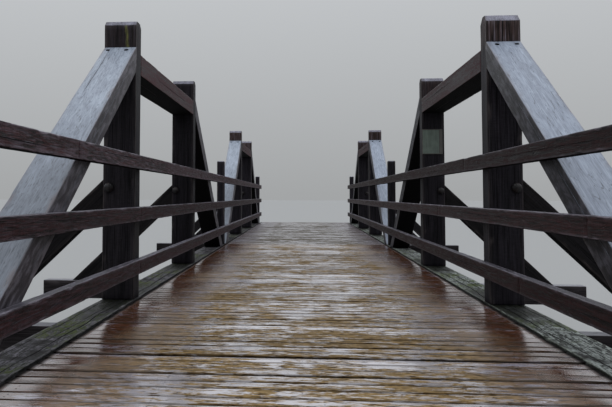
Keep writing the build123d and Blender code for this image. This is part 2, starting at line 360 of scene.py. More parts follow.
@dataclass(frozen=True)
class Timber:
    """A sawn stick, as a rounded rectangle carried from one end to the other.

    Attributes:
        width: Across.
        depth: Up and down in its own axes.
        start: First end.
        finish: Second end.
        seed: Chooses its checks, its waviness and its tone.
        arris: Radius of the worn arrises.
        chip: How much deeper the arrises are worn in places.
        step: Distance between stations.
        wave: Depth of the long waves in its faces.
        ripple: Depth of the short saw-torn ripple.
        columns: Points across the width and the depth, between the arrises.
        plain_under: Whether the under face has no points between its arrises.
        checks: Its drying checks.
        arc: Points round each arris.
        tone: From 0 for a dark stick to 1 for a pale one, or None where the seed chooses.
    """

    width: float
    depth: float
    start: End
    finish: End
    seed: int
    arris: float = 0.006
    chip: float = 0.006
    step: float = 0.05
    wave: float = 0.0015
    ripple: float = 0.0006
    columns: tuple[int, int] = (4, 3)
    plain_under: bool = False
    checks: tuple[Check, ...] = ()
    arc: int = 3
    tone: float | None = None

    def outline(self) -> Outline:
        """Works out the section, running from the right face over the upper, left and under.

        A point on a face lies half the timber's size out along the normal, and its own place along
        the tangent. A point of an arris lies on a quarter circle that touches both faces, so it
        stands in from the sharp corner by a part of the radius each way.

        Returns:
            The outline.
        """
        rows: list[tuple[Array | float, ...]] = []
        halves = (self.width / 2, self.depth / 2)
        breaks = sorted({c[0] for e in (self.start, self.finish) for c in e.cut[1:-1]})
        for face in Face:
            normal = np.array(((1, 0), (0, 1), (-1, 0), (0, -1))[face.value], float)
            tangent = np.array((-normal[1], normal[0]))
            flat = face in (Face.RIGHT, Face.LEFT)
            high, long = halves if flat else halves[::-1]
            base = normal * high
            margin = min(0.006, long * 0.2)
            own = [(i, long * (2 * k.place - 1)) for i, k in enumerate(self.checks) if k.face is face]
            count = self.columns[1] if flat else self.columns[0]
            if face is Face.UNDER and self.plain_under:
                count = 0
            spots = [(long * (2 * (n + 1) / (count + 1) - 1), -1, 0) for n in range(count)]
            spots = [s for s in spots if all(abs(s[0] - centre) > 0.12 * long for _, centre in own)]
            if flat:
                sign = 1 if face is Face.RIGHT else -1
                spots = [s for s in spots if all(abs(s[0] - sign * h) > 0.012 for h in breaks)]
                spots += [(sign * h, -1, 0) for h in breaks]
            for i, centre in own:
                spots += [(centre + 1e-5 * lip, i, lip) for lip in (-1, 0, 1)]
            before, after = face.value, (face.value + 1) % 4
            inner = tangent * (long - margin)
            rows.append((base - inner, tangent, normal, tangent, 0.3, before, -1, 0))
            for c, check, lip in sorted(spots, key=lambda s: s[0]):
                rows.append((base + tangent * c, 0 * tangent, normal, tangent, 0.0, before, check, lip))
            rows.append((base + inner, -tangent, normal, tangent, 0.3, after, -1, 0))
            for angle in np.linspace(0, math.pi / 2, self.arc):
                cos, sin = math.cos(angle), math.sin(angle)
                turned = normal * (cos - 1) + tangent * (sin - 1)
                out = normal * cos + tangent * sin
                near = 1.0 if 0 < angle < 1.5 else 0.75
                rows.append((base + tangent * long, turned, out, tangent, near, after, -1, 0))
        columns = list(zip(*rows))
        return Outline(*(np.array(c) for c in columns))

    def stations(self) -> tuple[Array, Array]:
        """Distances from the first end, and the inset across and up at each, over a nominal length."""
        length = self.length()
        first, last = np.array(self.start.worn), np.array(self.finish.worn)
        room = length - first[-1, 0] - last[-1, 0]
        count = max(2, round(room / self.step))
        middle = first[-1, 0] + room * np.arange(1, count) / count
        along = np.concatenate((first[:, 0], middle, length - last[::-1, 0]))
        insets = first[:, 1:] * self.start.share, last[::-1, 1:] * self.finish.share
        inset = np.concatenate((insets[0], np.zeros((len(middle), 2)), insets[1]))
        return along, inset

    def length(self) -> float:
        """Length along the middle line."""
        zero = np.zeros(1)
        return float(self.finish.station(zero)[0] - self.start.station(zero)[0])

    def grooves(self, o: Outline, s: Array, relief: Relief) -> tuple[Array, Array, Array]:
        """Works out the drying checks.

        A check opens as the square root of the sine of its way from start to stop. Its bottom
        sinks by its depth and its lips slide apart by half its width each, while the whole
        strays to the sides in long and short bends.

        Args:
            o: The outline.
            s: Distance of each station from the first end, as a column.
            relief: Source of the bends.

        Returns:
            How far each point sinks, how far it slides round the outline, and how deep in a
            check it lies, from 0 to 1.
        """
        sink, slide, deep = (np.zeros((len(s), len(o.check))) for _ in range(3))
        for number, check in enumerate(self.checks):
            mine = (o.check == number)[None]
            way = np.clip((s / s[-1] - check.start) / (check.stop - check.start), 0, 1)
            width = 0.35 + 0.65 * relief.at(s / OPENING_RUN + 5 * number, 11.5)
            open_ = np.sqrt(np.sin(np.pi * way)) * width
            bend = 2 * relief.at(s / BEND_RUN + 3 * number, 23.5) - 1
            twitch = 2 * relief.at(s / TWITCH_RUN, 29.5 + number) - 1
            stray = check.wander * bend + 0.25 * check.wander * twitch
            sink = sink + mine * (o.lip == 0) * open_ * check.depth
            slide = slide + mine * (stray + o.lip * (0.0006 + open_ * check.width / 2))
            deep = deep + mine * open_ * np.where(o.lip == 0, 1.0, 0.25)
        return sink, slide, deep

    def build(self, axes: Axes) -> Shell:
        """Carries the outline along the axis.

        Each point is its outline point, drawn in by the inset, then sunk along the normal by long
        waves, short ripple and the checks, and slid along the tangent by half a check's width at
        its lips. Arris radii vary along the length, with chips where a second relief is high.
        A number added to a place only reads another part of the relief's table.

        Args:
            axes: Where the stick lies.

        Returns:
            Its surface, with the ends closed.
        """
        o = self.outline()
        along, inset = self.stations()
        length = along[-1]
        s = along[:, None]
        relief = Relief(self.seed)
        ring = np.cumsum(np.linalg.norm(np.diff(o.fixed, axis=0, prepend=o.fixed[:1]), axis=1))
        worn = relief.at(s / ARRIS_RUN, o.corner * 7.3 + 0.4)
        chips = np.clip((relief.at(s / CHIP_RUN + 17, o.corner * 5.1 + 2.6) - 0.72) / 0.2, 0, 1)
        radius = self.arris * (0.6 + 0.8 * worn) + self.chip * chips * worn
        scale = 1 - inset / np.array((self.width / 2, self.depth / 2))
        section = o.fixed[None] * scale[:, None, :] + o.turned[None] * radius[..., None]
        keep = 1 - np.clip(o.arris, 0, 1) * 0.5
        waves = relief.at(s / WAVE_RUN[0] + 3, ring[None] / WAVE_RUN[1])
        ripples = relief.at(s / RIPPLE_RUN[0] + 9, ring[None] / RIPPLE_RUN[1] + 31)
        groove, slide, deep = self.grooves(o, s, relief)
        sink = self.wave * waves * keep + self.ripple * ripples * keep + groove
        section = section - o.normal[None] * sink[..., None] + o.tangent[None] * slide[..., None]
        height = np.clip(o.fixed[:, 1], -self.depth / 2, self.depth / 2)
        first, last = self.start.station(height), self.finish.station(height)
        station = first[None] + (last - first)[None] * (s / length)
        points = axes.place(station, section[..., 0], section[..., 1])
        index, quads = tube(*station.shape)
        rng = np.random.default_rng(self.seed + 1)
        tone, shift, pith = rng.random(), rng.random() * 40 + self.seed % 97, rng.normal(0, 0.04, 2)
        wear = np.zeros((*station.shape, 4))
        wear[..., 1] = np.clip(o.arris[None] * (0.55 + 3.5 * chips + 0.4 * worn), 0, 1)
        wear[..., 2] = tone if self.tone is None else self.tone
        wear[..., 3] = np.clip(deep, 0, 1)
        place = np.concatenate(((station + shift)[..., None], section + pith), axis=-1)
        faces = [quads]
        for end, level, turn in ((self.start, index[0], -1), (self.finish, index[-1], 1)):
            faces += [block[:, ::turn] for block in self.cap(level, o, end)]
        ends = [False] + [True] * (len(faces) - 1)
        return Shell(points.reshape(-1, 3), faces, place.reshape(-1, 3), wear.reshape(-1, 4), ends)

    def cap(self, level: Array, o: Outline, end: End) -> list[Array]:
        """Closes an end with one flat face for each straight run of its cut.

        Args:
            level: Indices of the end's points.
            o: The outline.
            end: The end.

        Returns:
            Faces that run the way the outline does.
        """
        heights = [c[0] for c in end.cut[1:-1]]
        if not heights:
            return [level[None]]
        split = np.abs(o.fixed[:, 1] - heights[0]) < 1e-6
        right, left = (np.nonzero(split & (o.normal[:, 0] * sign > 0.5))[0][0] for sign in (1, -1))
        upper = level[right : left + 1]
        under = np.concatenate((level[left:], level[: right + 1]))
        return [upper[None], under[None]]


@dataclass(frozen=True)
class Turned:
    """A solid of revolution, such as a bolt head.

    Attributes:
        profile: Pairs of distance from the axis and height, from the rim's foot to the top.
        sides: Points round it.
    """

    profile: Pairs
    sides: int = 20

    def build(self, centre: Iterable[float], axis: Array, tone: float = 0.5) -> Shell:
        """Turns the profile round an axis: each of its points goes round a circle at its height.

        Args:
            centre: Point on the axis at height 0.
            axis: Direction of height.
            tone: Tone of the piece.

        Returns:
            A closed surface, capped at both ends.
        """
        axis = np.asarray(axis, float)
        helper = UP if abs(axis[2]) < 0.8 else ALONG
        one = np.cross(helper, axis)
        one = one / np.linalg.norm(one)
        two = np.cross(axis, one)
        r, h = np.array(self.profile).T
        angle = np.arange(self.sides) * 2 * math.pi / self.sides
        points = (
            np.asarray(tuple(centre))
            + (r[:, None] * np.cos(angle))[..., None] * one
            + (r[:, None] * np.sin(angle))[..., None] * two
            + h[:, None, None] * axis
        )
        index, quads = tube(len(r), self.sides)
        wear = np.zeros((*index.shape, 4))
        wear[..., 2] = tone
        faces = [quads, index[0][::-1][None], index[-1][None]]
        flat = points.reshape(-1, 3)
        return Shell(flat, faces, flat.copy(), wear.reshape(-1, 4), [False] * 3)


# Finishes


def linear(code: str) -> tuple[float, float, float, float]:
    """Linear colour of an sRGB hex value.

    Each part is divided by 12.92 up to 0.04045. Above that, 0.055 is added, and the sum is divided
    by 1.055 and raised to the power of 2.4.
    """
    parts = [int(code[i : i + 2], 16) / 255 for i in (1, 3, 5)]
    r, g, b = (c / 12.92 if c <= 0.04045 else ((c + 0.055) / 1.055) ** 2.4 for c in parts)
    return (r, g, b, 1.0)


class Graph:
    """The node tree of a material or a world."""

    def __init__(self, owner: bpy.types.ID) -> None:
        """Empties the owner's tree."""
        owner.use_nodes = True
        self.owner = owner
        self.tree = owner.node_tree
        self.tree.nodes.clear()

    def add(self, kind: str, inputs: dict | None = None, operation: str = "",
            **settings: object) -> bpy.types.NodeSocket:
        """Adds a node with its settings and links. A Mix node mixes colours unless told otherwise.

        Args:
            kind: Type of node, without the ShaderNode in front.
            inputs: Value, sRGB hex colour or socket for each input, by name or number. From and
                To stand for a pair, the input's Min and its Max.
            operation: What a node for sums does.
            settings: Other properties of the node.

        Returns:
            The first output in use.
        """
        node = self.tree.nodes.new("ShaderNode" + kind)
        if kind == "Mix":
            settings.setdefault("data_type", "RGBA")
        if operation:
            settings["operation"] = operation
        for key, value in settings.items():
            setattr(node, key, value)
        values = dict(inputs or {})
        for key in {"From", "To"} & values.keys():
            values[f"{key} Min"], values[f"{key} Max"] = values.pop(key)
        for key, value in values.items():
            live = [i for i in node.inputs if i.enabled]
            socket = live[key] if isinstance(key, int) else next(i for i in live if i.name == key)
            if isinstance(value, bpy.types.NodeSocket):
                self.tree.links.new(value, socket)
            else:
                socket.default_value = linear(value) if isinstance(value, str) else value
        return next((o for o in node.outputs if o.enabled), None)


@dataclass(frozen=True)
class TimberFinish:
    """Sawn timber left outdoors and wet with rain.

    Attributes:
        name: Common name and how the surface was made.
        shade: Colour in the pores and torn fibres.
        body: Colour of the upright faces.
        under: Colour of the faces that look down: painted shade.
        bloom_shade: Colour in the pores of the open faces, which look up.
        bloom: Colour of the rest of them.
        arris: Colour of the worn arrises.
        contrast: Half the spread of noise from pores to body.
        cover: Share of the open faces that have bleached.
        fibre_mm: Length and width of a streak of fibres.
        band_mm: Length and width of the broad bands of growth.
        waver: How much the fibres curl.
        fleck_mm: Length and width of the dark flecks.
        fleck: How strongly they mark the open faces.
        split_mm: Length and width of the net of fine surface splits.
        split: Share of the surface that the splits take.
        relief_mm: Height of the fibres.
        rough: Roughness of the pores and of the ridges.
        gloss: Specular level of the open faces.
        spread: How much sticks differ in tone.
        growth: Colour of moss and algae.
        growth_share: How much of the open faces they take.
        crown: Level above which an upright stick is bleached and split, or None.
        crown_body: Its colour there.
        crown_streak: Colour of the palest streaks there.
        crown_mm: Length and width of the streaks.
        lichen_x: Place across the bridge of a run of lichen down the crown, or None.
        lichen: Its colour.
        patina: Colour of the weathered patches on the upright faces.
        patina_share: How strongly they show, more on pale sticks.
        patina_mm: Their length and width.
        saw: How strongly the marks of the saw show.
        saw_mm: Their width along the stick and their length across it.
        darkening: Lower and upper level over which the open faces grow darker towards the bottom, and the
        share of their colour left below.
        hollow: Colour of the painted shade down a check and in the sunk holes, and of the surface splits.
        feet: From the bridge's middle to that of a pair of posts, and half the way between the two. Round
        them the timber is darker, wet through and in painted shade of the posts, and moss grows beside it.
    """

    name: str
    shade: str
    body: str
    under: str
    bloom_shade: str
    bloom: str
    arris: str
    contrast: float = 0.1
    cover: float = 1.0
    fibre_mm: Pair = (320.0, 12.0)
    band_mm: Pair = (1500.0, 60.0)
    waver: float = 0.3
    fleck_mm: Pair = (45.0, 8.0)
    fleck: float = 0.4
    split_mm: Pair = (420.0, 24.0)
    split: float = 0.012
    relief_mm: float = 1.2
    rough: Pair = (0.35, 0.6)
    gloss: float = 0.3
    spread: float = 0.25
    growth: str = "#4c5a2c"
    growth_share: float = 0.0
    crown: float | None = None
    crown_body: str = "#5a463f"
    crown_streak: str = "#7b7682"
    crown_mm: Pair = (420.0, 10.0)
    lichen_x: float | None = None
    lichen: str = "#6c6d40"
    patina: str = "#5a5456"
    patina_share: float = 0.0
    patina_mm: Pair = (180.0, 50.0)
    saw: float = 0.0
    saw_mm: Pair = (9.0, 70.0)
    darkening: tuple[float, float, float] | None = None
    hollow: str = "#0b0a0b"
    feet: Pair | None = None

    def stretched(self, g: Graph, grain: bpy.types.NodeSocket, size_mm: Pair,
                  detail: float, turn: float = 0.0) -> bpy.types.NodeSocket:
        """Noise drawn out along the grain, with patches of the given length and width."""
        scale = (1000 / size_mm[0], 1000 / size_mm[1], 1000 / size_mm[1])
        place = g.add("VectorMath", {0: grain, 1: scale}, "MULTIPLY")
        return g.add("TexNoise", {"Vector": place, "Scale": 1.0, "Detail": detail, "Roughness": 0.6,
                                  "Distortion": turn})

    def build(self) -> bpy.types.Material:
        """Makes the material.

        Fibres and bands give one figure. It takes the upright faces from pores to body and the
        open faces from their own pores to the bloom. Patina and saw marks go over the upright
        faces, and flecks, moss, the painted shade of the faces that look down, worn arrises, splits
        and the painted shade down the checks over everything, in that order.

        Returns:
            The material.
        """
        g = Graph(bpy.data.materials.new(self.name))
        grain = g.add("Attribute", attribute_name="grain").node.outputs["Vector"]
        wear = g.add("Attribute", attribute_name="wear")
        open_, arris, tone = tuple(g.add("SeparateColor", {0: wear}).node.outputs)[:3]
        check = wear.node.outputs["Alpha"]
        place = g.add("TexCoord").node.outputs["Object"]
        x, y, z = tuple(g.add("SeparateXYZ", {0: place}).node.outputs)
        fibres = self.stretched(g, grain, self.fibre_mm, 5.0, self.waver)
        bands = self.stretched(g, grain, self.band_mm, 2.0, self.waver)
        flecks = self.stretched(g, grain, self.fleck_mm, 2.0)
        net = self.stretched(g, grain, self.split_mm, 1.0, 0.35)
        blotch = g.add("TexNoise", {"Vector": grain, "Scale": 3.1, "Detail": 3.0, "Roughness": 0.55})
        figure = g.add("Math", {0: fibres, 1: 0.65}, "MULTIPLY")
        figure = g.add("Math", {0: bands, 1: 0.35, 2: figure}, "MULTIPLY_ADD")
        level = g.add("MapRange", {0: figure, "From": (0.5 - self.contrast, 0.5 + self.contrast)})
        side = g.add("Mix", {"Factor": level, "A": self.shade, "B": self.body})
        if self.patina_share:
            mottle = self.stretched(g, grain, self.patina_mm, 4.0, 0.3)
            mottle = g.add("MapRange", {0: mottle, "From": (0.44, 0.64), "To": (0.0, self.patina_share)})
            faded = g.add("MapRange", {0: tone, "To": (0.35, 1.2)})
            mottle = g.add("Math", {0: mottle, 1: faded}, "MULTIPLY")
            side = g.add("Mix", {"Factor": mottle, "A": side, "B": self.patina})
        if self.saw:
            saws = self.stretched(g, grain, self.saw_mm, 2.0)
            saws = g.add("MapRange", {0: saws, "From": (0.35, 0.65), "To": (1 - self.saw, 1 + self.saw)})
            side = g.add("VectorMath", {0: side, "Scale": saws}, "SCALE")
        if self.crown is not None:
            near = g.add("MapRange", {0: z, "From": (self.crown - 0.1, self.crown + 0.03)})
            runs = self.stretched(g, grain, self.crown_mm, 3.0, 0.1)
            solid = g.add("MapRange", {0: runs, "From": (0.4, 0.52)})
            head = g.add("Mix", {"Factor": solid, "A": self.shade, "B": self.crown_body})
            pale = g.add("MapRange", {0: runs, "From": (0.55, 0.64), "To": (0.0, 0.5)})
            head = g.add("Mix", {"Factor": pale, "A": head, "B": self.crown_streak})
            warm = g.add("MapRange", {0: tone, "From": (0.2, 0.8), "To": (0.1, 1.0)})
            warm = g.add("Math", {0: near, 1: warm}, "MULTIPLY")
            side = g.add("Mix", {"Factor": warm, "A": side, "B": head})
            if self.lichen_x is not None:
                off = g.add("Math", {0: blotch, 1: 0.09, 2: x}, "MULTIPLY_ADD")
                off = g.add("Math", {0: off, 1: self.lichen_x + 0.045}, "SUBTRACT")
                off = g.add("Math", {0: off}, "ABSOLUTE")
                run = g.add("MapRange", {0: off, "From": (0.02, 0.005)})
                run = g.add("Math", {0: run, 1: near}, "MULTIPLY")
                crust = g.add("MapRange", {0: flecks, "From": (0.36, 0.56), "To": (0.35, 0.85)})
                run = g.add("Math", {0: run, 1: crust}, "MULTIPLY")
                side = g.add("Mix", {"Factor": run, "A": side, "B": self.lichen})
        top = g.add("Mix", {"Factor": level, "A": self.bloom_shade, "B": self.bloom})
        mark = g.add("MapRange", {0: flecks, "From": (0.41, 0.33), "To": (0.0, self.fleck)})
        top = g.add("Mix", {"Factor": mark, "A": top, "B": self.shade})
        if self.darkening:
            # the open faces grow darker towards the bottom
            left = g.add("MapRange", {0: z, "From": self.darkening[:2], "To": (self.darkening[2], 1.0)})
            top = g.add("VectorMath", {0: top, "Scale": left}, "SCALE")
        if self.feet:
            away = g.add("Math", {0: y}, "ABSOLUTE")
            for centre in self.feet:
                away = g.add("Math", {0: away, 1: centre}, "SUBTRACT")
                away = g.add("Math", {0: away}, "ABSOLUTE")
            away = g.add("Math", {0: blotch, 1: -0.9, 2: away}, "MULTIPLY_ADD")
            near = g.add("MapRange", {0: away, "From": (1.5, 0.1), "To": (-0.1, 0.1)})
            blotch = g.add("Math", {0: blotch, 1: near}, "ADD")
        if self.growth_share:
            reach = (0.66 - 0.25 * self.growth_share, 0.7 - 0.2 * self.growth_share)
            damp = g.add("MapRange", {0: blotch, "From": reach})
            moss = g.add("MapRange", {0: bands, "From": (0.42, 0.56)})
            moss = g.add("Math", {0: damp, 1: moss}, "MULTIPLY")
            moss = g.add("Math", {0: moss, 1: 0.85}, "MULTIPLY")
            top = g.add("Mix", {"Factor": moss, "A": top, "B": self.growth})
        # painted shade of the posts, with wet wood, darkens the chords' tops round their feet
        if self.feet:
            soak_and_shade = g.add("MapRange", {0: away, "From": (0.7, 0.25), "To": (0.0, 0.9)})
            top = g.add("Mix", {"Factor": soak_and_shade, "A": top, "B": self.shade})
        high = g.add("MapRange", {0: open_, "From": (0.62, 0.82)})
        cover = g.add("MapRange", {0: blotch, "From": (0.68 - 0.5 * self.cover, 0.78 - 0.5 * self.cover)})
        lit = g.add("Math", {0: high, 1: cover}, "MULTIPLY")
        colour = g.add("Mix", {"Factor": lit, "A": side, "B": top})
        # painted shade: faces that look down take the near-black under colour
        low = g.add("MapRange", {0: open_, "From": (0.3, 0.1)})
        colour = g.add("Mix", {"Factor": low, "A": colour, "B": self.under})
        rubbed = g.add("MapRange", {0: fibres, "From": (0.4, 0.55), "To": (0.1, 1.0)})
        edge = g.add("Math", {0: arris, 1: rubbed}, "MULTIPLY")
        edge = g.add("Math", {0: edge, 1: open_}, "MULTIPLY")
        colour = g.add("Mix", {"Factor": edge, "A": colour, "B": self.arris})
        off = g.add("Math", {0: net, 1: 0.5}, "SUBTRACT")
        off = g.add("Math", {0: off}, "ABSOLUTE")
        hair = g.add("MapRange", {0: off, "From": (self.split, self.split * 0.2)})
        hair = g.add("Math", {0: hair, 1: blotch}, "MULTIPLY")
        # painted shade down the checks and in the sunk holes, by their depth, joined with the dark fine
        # splits
        dark = g.add("Math", {0: check, 1: 1.6}, "MULTIPLY", use_clamp=True)
        dark = g.add("Math", {0: dark, 1: hair}, "MAXIMUM")
        colour = g.add("Mix", {"Factor": dark, "A": colour, "B": self.hollow})
        tint = g.add("MapRange", {0: tone, "To": (1 - self.spread, 1 + self.spread)})
        colour = g.add("VectorMath", {0: colour, "Scale": tint}, "SCALE")
        wet = g.add("MapRange", {0: level, "To": self.rough})
        dry = g.add("Mix", {"Factor": low, "A": wet, "B": 0.9}, data_type="FLOAT")
        gloss = g.add("MapRange", {0: open_, "From": (0.4, 0.8), "To": (0.04, self.gloss)})
        if self.growth_share:
            gloss = g.add("Mix", {"Factor": moss, "A": gloss, "B": 0.03}, data_type="FLOAT")
        if self.feet:
            gloss = g.add("Mix", {"Factor": soak_and_shade, "A": gloss, "B": 0.15}, data_type="FLOAT")
        height = g.add("Math", {0: figure, 1: hair}, "SUBTRACT")
        bump = g.add("Bump", {"Height": height, "Distance": self.relief_mm / 1000, "Strength": 1.0})
        shader = g.add("BsdfPrincipled", {"Base Color": colour, "Roughness": dry, "Normal": bump,
                                          "Specular IOR Level": gloss, "IOR": 1.45})
        g.add("OutputMaterial", {"Surface": shader})
        return g.owner


@dataclass(frozen=True)
class WetBoards:
    """Rough-sawn deck boards under rain: a film of water shines on the bleached ridges, its pale
    colour a painted reflection of the sky, and the hollows between them show brown wood.

    Attributes:
        name: Common name and how the surface was made.
        pores: Colour of the torn, soaked grain.
        olive: Colour of the trodden middle.
        russet: Colour beside the railings: painted shade of the railings.
        worn: Colour of the film on the bleached ridges: painted reflection of the sky.
        shaded: The same beside the railings: painted reflection of the railings and the sky.
        gaps: Colour down the sides of the boards, painted shade between them, and at their ends by
        the chords, where the wood is wet through and in painted shade.
        russet_m: Places across the bridge between which olive turns to russet, before the broad
            areas shift them.
        film_mm: Length and width of the patches of film.
        pool_m: Size of the broad areas where the film is thick, along a board and across it.
        film_at: Level of the noise above which the film stands, in the middle and at the sides.
        sheen: How wet the boards are between its patches, in the same two places.
        ends_m: Places across the bridge between which the boards darken towards their ends.
        relief_mm: Height of the ridges.
        fibre_mm: Length and width of the torn fibres.
        fibre_relief_mm: Their height.
    """

    name: str = "rough_sawn_deck_boards_wet"
    pores: str = "#2c1f10"
    olive: str = "#86704c"
    russet: str = "#54301c"
    worn: str = "#9f9ca1"
    shaded: str = "#858290"
    gaps: str = "#0c0807"
    russet_m: Pair = (1.14, 1.66)
    film_mm: Pair = (190.0, 50.0)
    pool_m: Pair = (0.5, 0.6)
    film_at: Pair = (0.517, 0.57)
    sheen: Pair = (0.0, 0.9)
    ends_m: Pair = (1.48, 1.515)
    relief_mm: float = 2.0
    fibre_mm: Pair = (55.0, 12.0)
    fibre_relief_mm: float = 0.2

    def build(self) -> bpy.types.Material:
        """Makes the material.

        The film is where three noises together pass a level that is higher beside the railings. Its
        pale colour is painted reflection.

        Returns:
            The material.
        """
        g = Graph(bpy.data.materials.new(self.name))
        grain = g.add("Attribute", attribute_name="grain").node.outputs["Vector"]
        wear = g.add("Attribute", attribute_name="wear")
        open_, arris, tone = tuple(g.add("SeparateColor", {0: wear}).node.outputs)[:3]
        place = g.add("TexCoord").node.outputs["Object"]
        noises = []
        for base, (length, width), detail, torn in (
                (grain, self.film_mm, 5.0, 0.78), (grain, self.fibre_mm, 3.0, 0.6),
                (place, (1000 * self.pool_m[0], 1000 * self.pool_m[1]), 4.0, 0.6)):
            scale = (1000 / length, 1000 / width, 1000 / width)
            spot = g.add("VectorMath", {0: base, 1: scale}, "MULTIPLY")
            noises.append(g.add("TexNoise", {"Vector": spot, "Scale": 1.0, "Detail": detail,
                                             "Roughness": torn, "Distortion": 0.25}))
        ridges, fibres, pools = noises
        x = g.add("SeparateXYZ", {0: place})
        side = g.add("Math", {0: x}, "ABSOLUTE")
        side = g.add("Math", {0: pools, 1: 0.7, 2: side}, "MULTIPLY_ADD")
        # painted shade: the wood turns from olive to russet beside the railings
        edge = g.add("MapRange", {0: side, "From": self.russet_m})
        wood = g.add("Mix", {"Factor": edge, "A": self.olive, "B": self.russet})
        level = g.add("MapRange", {0: fibres, "From": (0.38, 0.52)})
        colour = g.add("Mix", {"Factor": level, "A": self.pores, "B": wood})
        rise = g.add("Math", {0: ridges, 1: 0.6}, "MULTIPLY")
        rise = g.add("Math", {0: pools, 1: 0.25, 2: rise}, "MULTIPLY_ADD")
        rise = g.add("Math", {0: fibres, 1: 0.15, 2: rise}, "MULTIPLY_ADD")
        stands = g.add("MapRange", {0: edge, "To": self.film_at})
        rise = g.add("Math", {0: rise, 1: stands}, "SUBTRACT")
        rise = g.add("Math", {0: tone, 1: 0.06, 2: rise}, "MULTIPLY_ADD")
        film = g.add("MapRange", {0: rise, "From": (0.0, 0.055)})
        # painted reflection: the film takes the pale colour of the sky, dimmer beside the railings
        pale = g.add("Math", {0: film, 1: 0.92}, "MULTIPLY")
        worn = g.add("Mix", {"Factor": edge, "A": self.worn, "B": self.shaded})
        colour = g.add("Mix", {"Factor": pale, "A": colour, "B": worn})
        # painted shade along the rounded edges of the boards, where they meet the next board
        rubbed = g.add("Math", {0: arris, 1: 0.9}, "MULTIPLY")
        colour = g.add("Mix", {"Factor": rubbed, "A": colour, "B": self.pores})
        # painted shade down the sides of the boards, and at their ends by the chords, where they are also
        # wet
        low = g.add("MapRange", {0: open_, "From": (0.85, 0.5)})
        off = g.add("Math", {0: x}, "ABSOLUTE")
        soak_and_shade = g.add("MapRange", {0: off, "From": self.ends_m})
        low = g.add("Math", {0: low, 1: soak_and_shade}, "MAXIMUM")
        colour = g.add("Mix", {"Factor": low, "A": colour, "B": self.gaps})
        tint = g.add("MapRange", {0: tone, "To": (0.8, 1.15)})
        colour = g.add("VectorMath", {0: colour, "Scale": tint}, "SCALE")
        damp = g.add("MapRange", {0: edge, "To": self.sheen})
        film = g.add("Math", {0: film, 1: damp}, "MAXIMUM")
        wet = g.add("MapRange", {0: film, "To": (0.55, 0.13)})
        rough = g.add("Mix", {"Factor": low, "A": wet, "B": 0.9}, data_type="FLOAT")
        shine = g.add("MapRange", {0: film, "To": (0.02, 0.95)})
        gloss = g.add("Mix", {"Factor": low, "A": shine, "B": 0.05}, data_type="FLOAT")
        height = g.add("Math", {0: fibres, 1: self.fibre_relief_mm / 1000}, "MULTIPLY")
        height = g.add("Math", {0: ridges, 1: self.relief_mm / 1000, 2: height}, "MULTIPLY_ADD")
        level = g.add("MapRange", {0: film, "To": (1.0, 0.35)})
        bump = g.add("Bump", {"Height": height, "Distance": 1.0, "Strength": level})
        shader = g.add("BsdfPrincipled", {"Base Color": colour, "Roughness": rough, "Normal": bump,
                                          "Specular IOR Level": gloss, "IOR": 1.45})
        g.add("OutputMaterial", {"Surface": shader})
        return g.owner


@dataclass(frozen=True)
class ForgedIron:
    """Blackened cast and forged iron, pitted and rusting, with a dull wet shine."""

    name: str = "cast_iron_blackened_rusting"
    skin: str = "#0f0e10"
    rust: str = "#221a19"

    def build(self) -> bpy.types.Material:
        """Makes the material.

        Returns:
            The material.
        """
        g = Graph(bpy.data.materials.new(self.name))
        place = g.add("TexCoord").node.outputs["Object"]
        pits = g.add("TexNoise", {"Vector": place, "Scale": 160.0, "Detail": 3.0})
        spots = g.add("TexNoise", {"Vector": place, "Scale": 34.0, "Detail": 3.0})
        share = g.add("MapRange", {0: spots, "From": (0.45, 0.65)})
        colour = g.add("Mix", {"Factor": share, "A": self.skin, "B": self.rust})
        rough = g.add("MapRange", {0: spots, "From": (0.35, 0.65), "To": (0.32, 0.6)})
        bump = g.add("Bump", {"Height": pits, "Distance": 0.0006})
        shader = g.add("BsdfPrincipled", {"Base Color": colour, "Roughness": rough, "Normal": bump,
                                          "Specular IOR Level": 0.3, "IOR": 1.5})
        g.add("OutputMaterial", {"Surface": shader})
        return g.owner


@dataclass(frozen=True)
class PlainCoat:
    """A painted or moulded surface with faint blotches, such as the bare panel's sheet or its frame."""

    name: str
    skin: str
    stain: str
    rough: float
    gloss: float = 0.5

    def build(self) -> bpy.types.Material:
        """Makes the material.

        Returns:
            The material.
        """
        g = Graph(bpy.data.materials.new(self.name))
        place = g.add("TexCoord").node.outputs["Object"]
        haze = g.add("TexNoise", {"Vector": place, "Scale": 14.0, "Detail": 4.0})
        runs = g.add("VectorMath", {0: place, 1: (60.0, 60.0, 3.0)}, "MULTIPLY")
        runs = g.add("TexNoise", {"Vector": runs, "Scale": 1.0, "Detail": 2.0})
        darkening = g.add("Math", {0: haze, 1: runs}, "MULTIPLY")
        share = g.add("MapRange", {0: darkening, "From": (0.14, 0.36)})
        colour = g.add("Mix", {"Factor": share, "A": self.skin, "B": self.stain})
        rough = g.add("MapRange", {0: haze, "To": (self.rough, self.rough + 0.2)})
        bump = g.add("Bump", {"Height": haze, "Distance": 0.0003})
        shader = g.add("BsdfPrincipled", {"Base Color": colour, "Roughness": rough, "Normal": bump,
                                          "Specular IOR Level": self.gloss})
        g.add("OutputMaterial", {"Surface": shader})
        return g.owner


# Preserved posts, sawn and nearly black: only the arrises and the heads show grey or brown wood.
POSTS = TimberFinish(
    "creosoted_post_timber_sawn", shade="#09090b", body="#232025", under="#0e0d0e",
    bloom_shade="#55545d", bloom="#9292a0", arris="#57504f", fibre_mm=(300.0, 7.0),
    rough=(0.45, 0.65), gloss=0.2, crown=4.3, crown_body="#413431", saw=0.15,
    patina="#3f3c43", patina_share=0.3, patina_mm=(380.0, 11.0), spread=0.15)
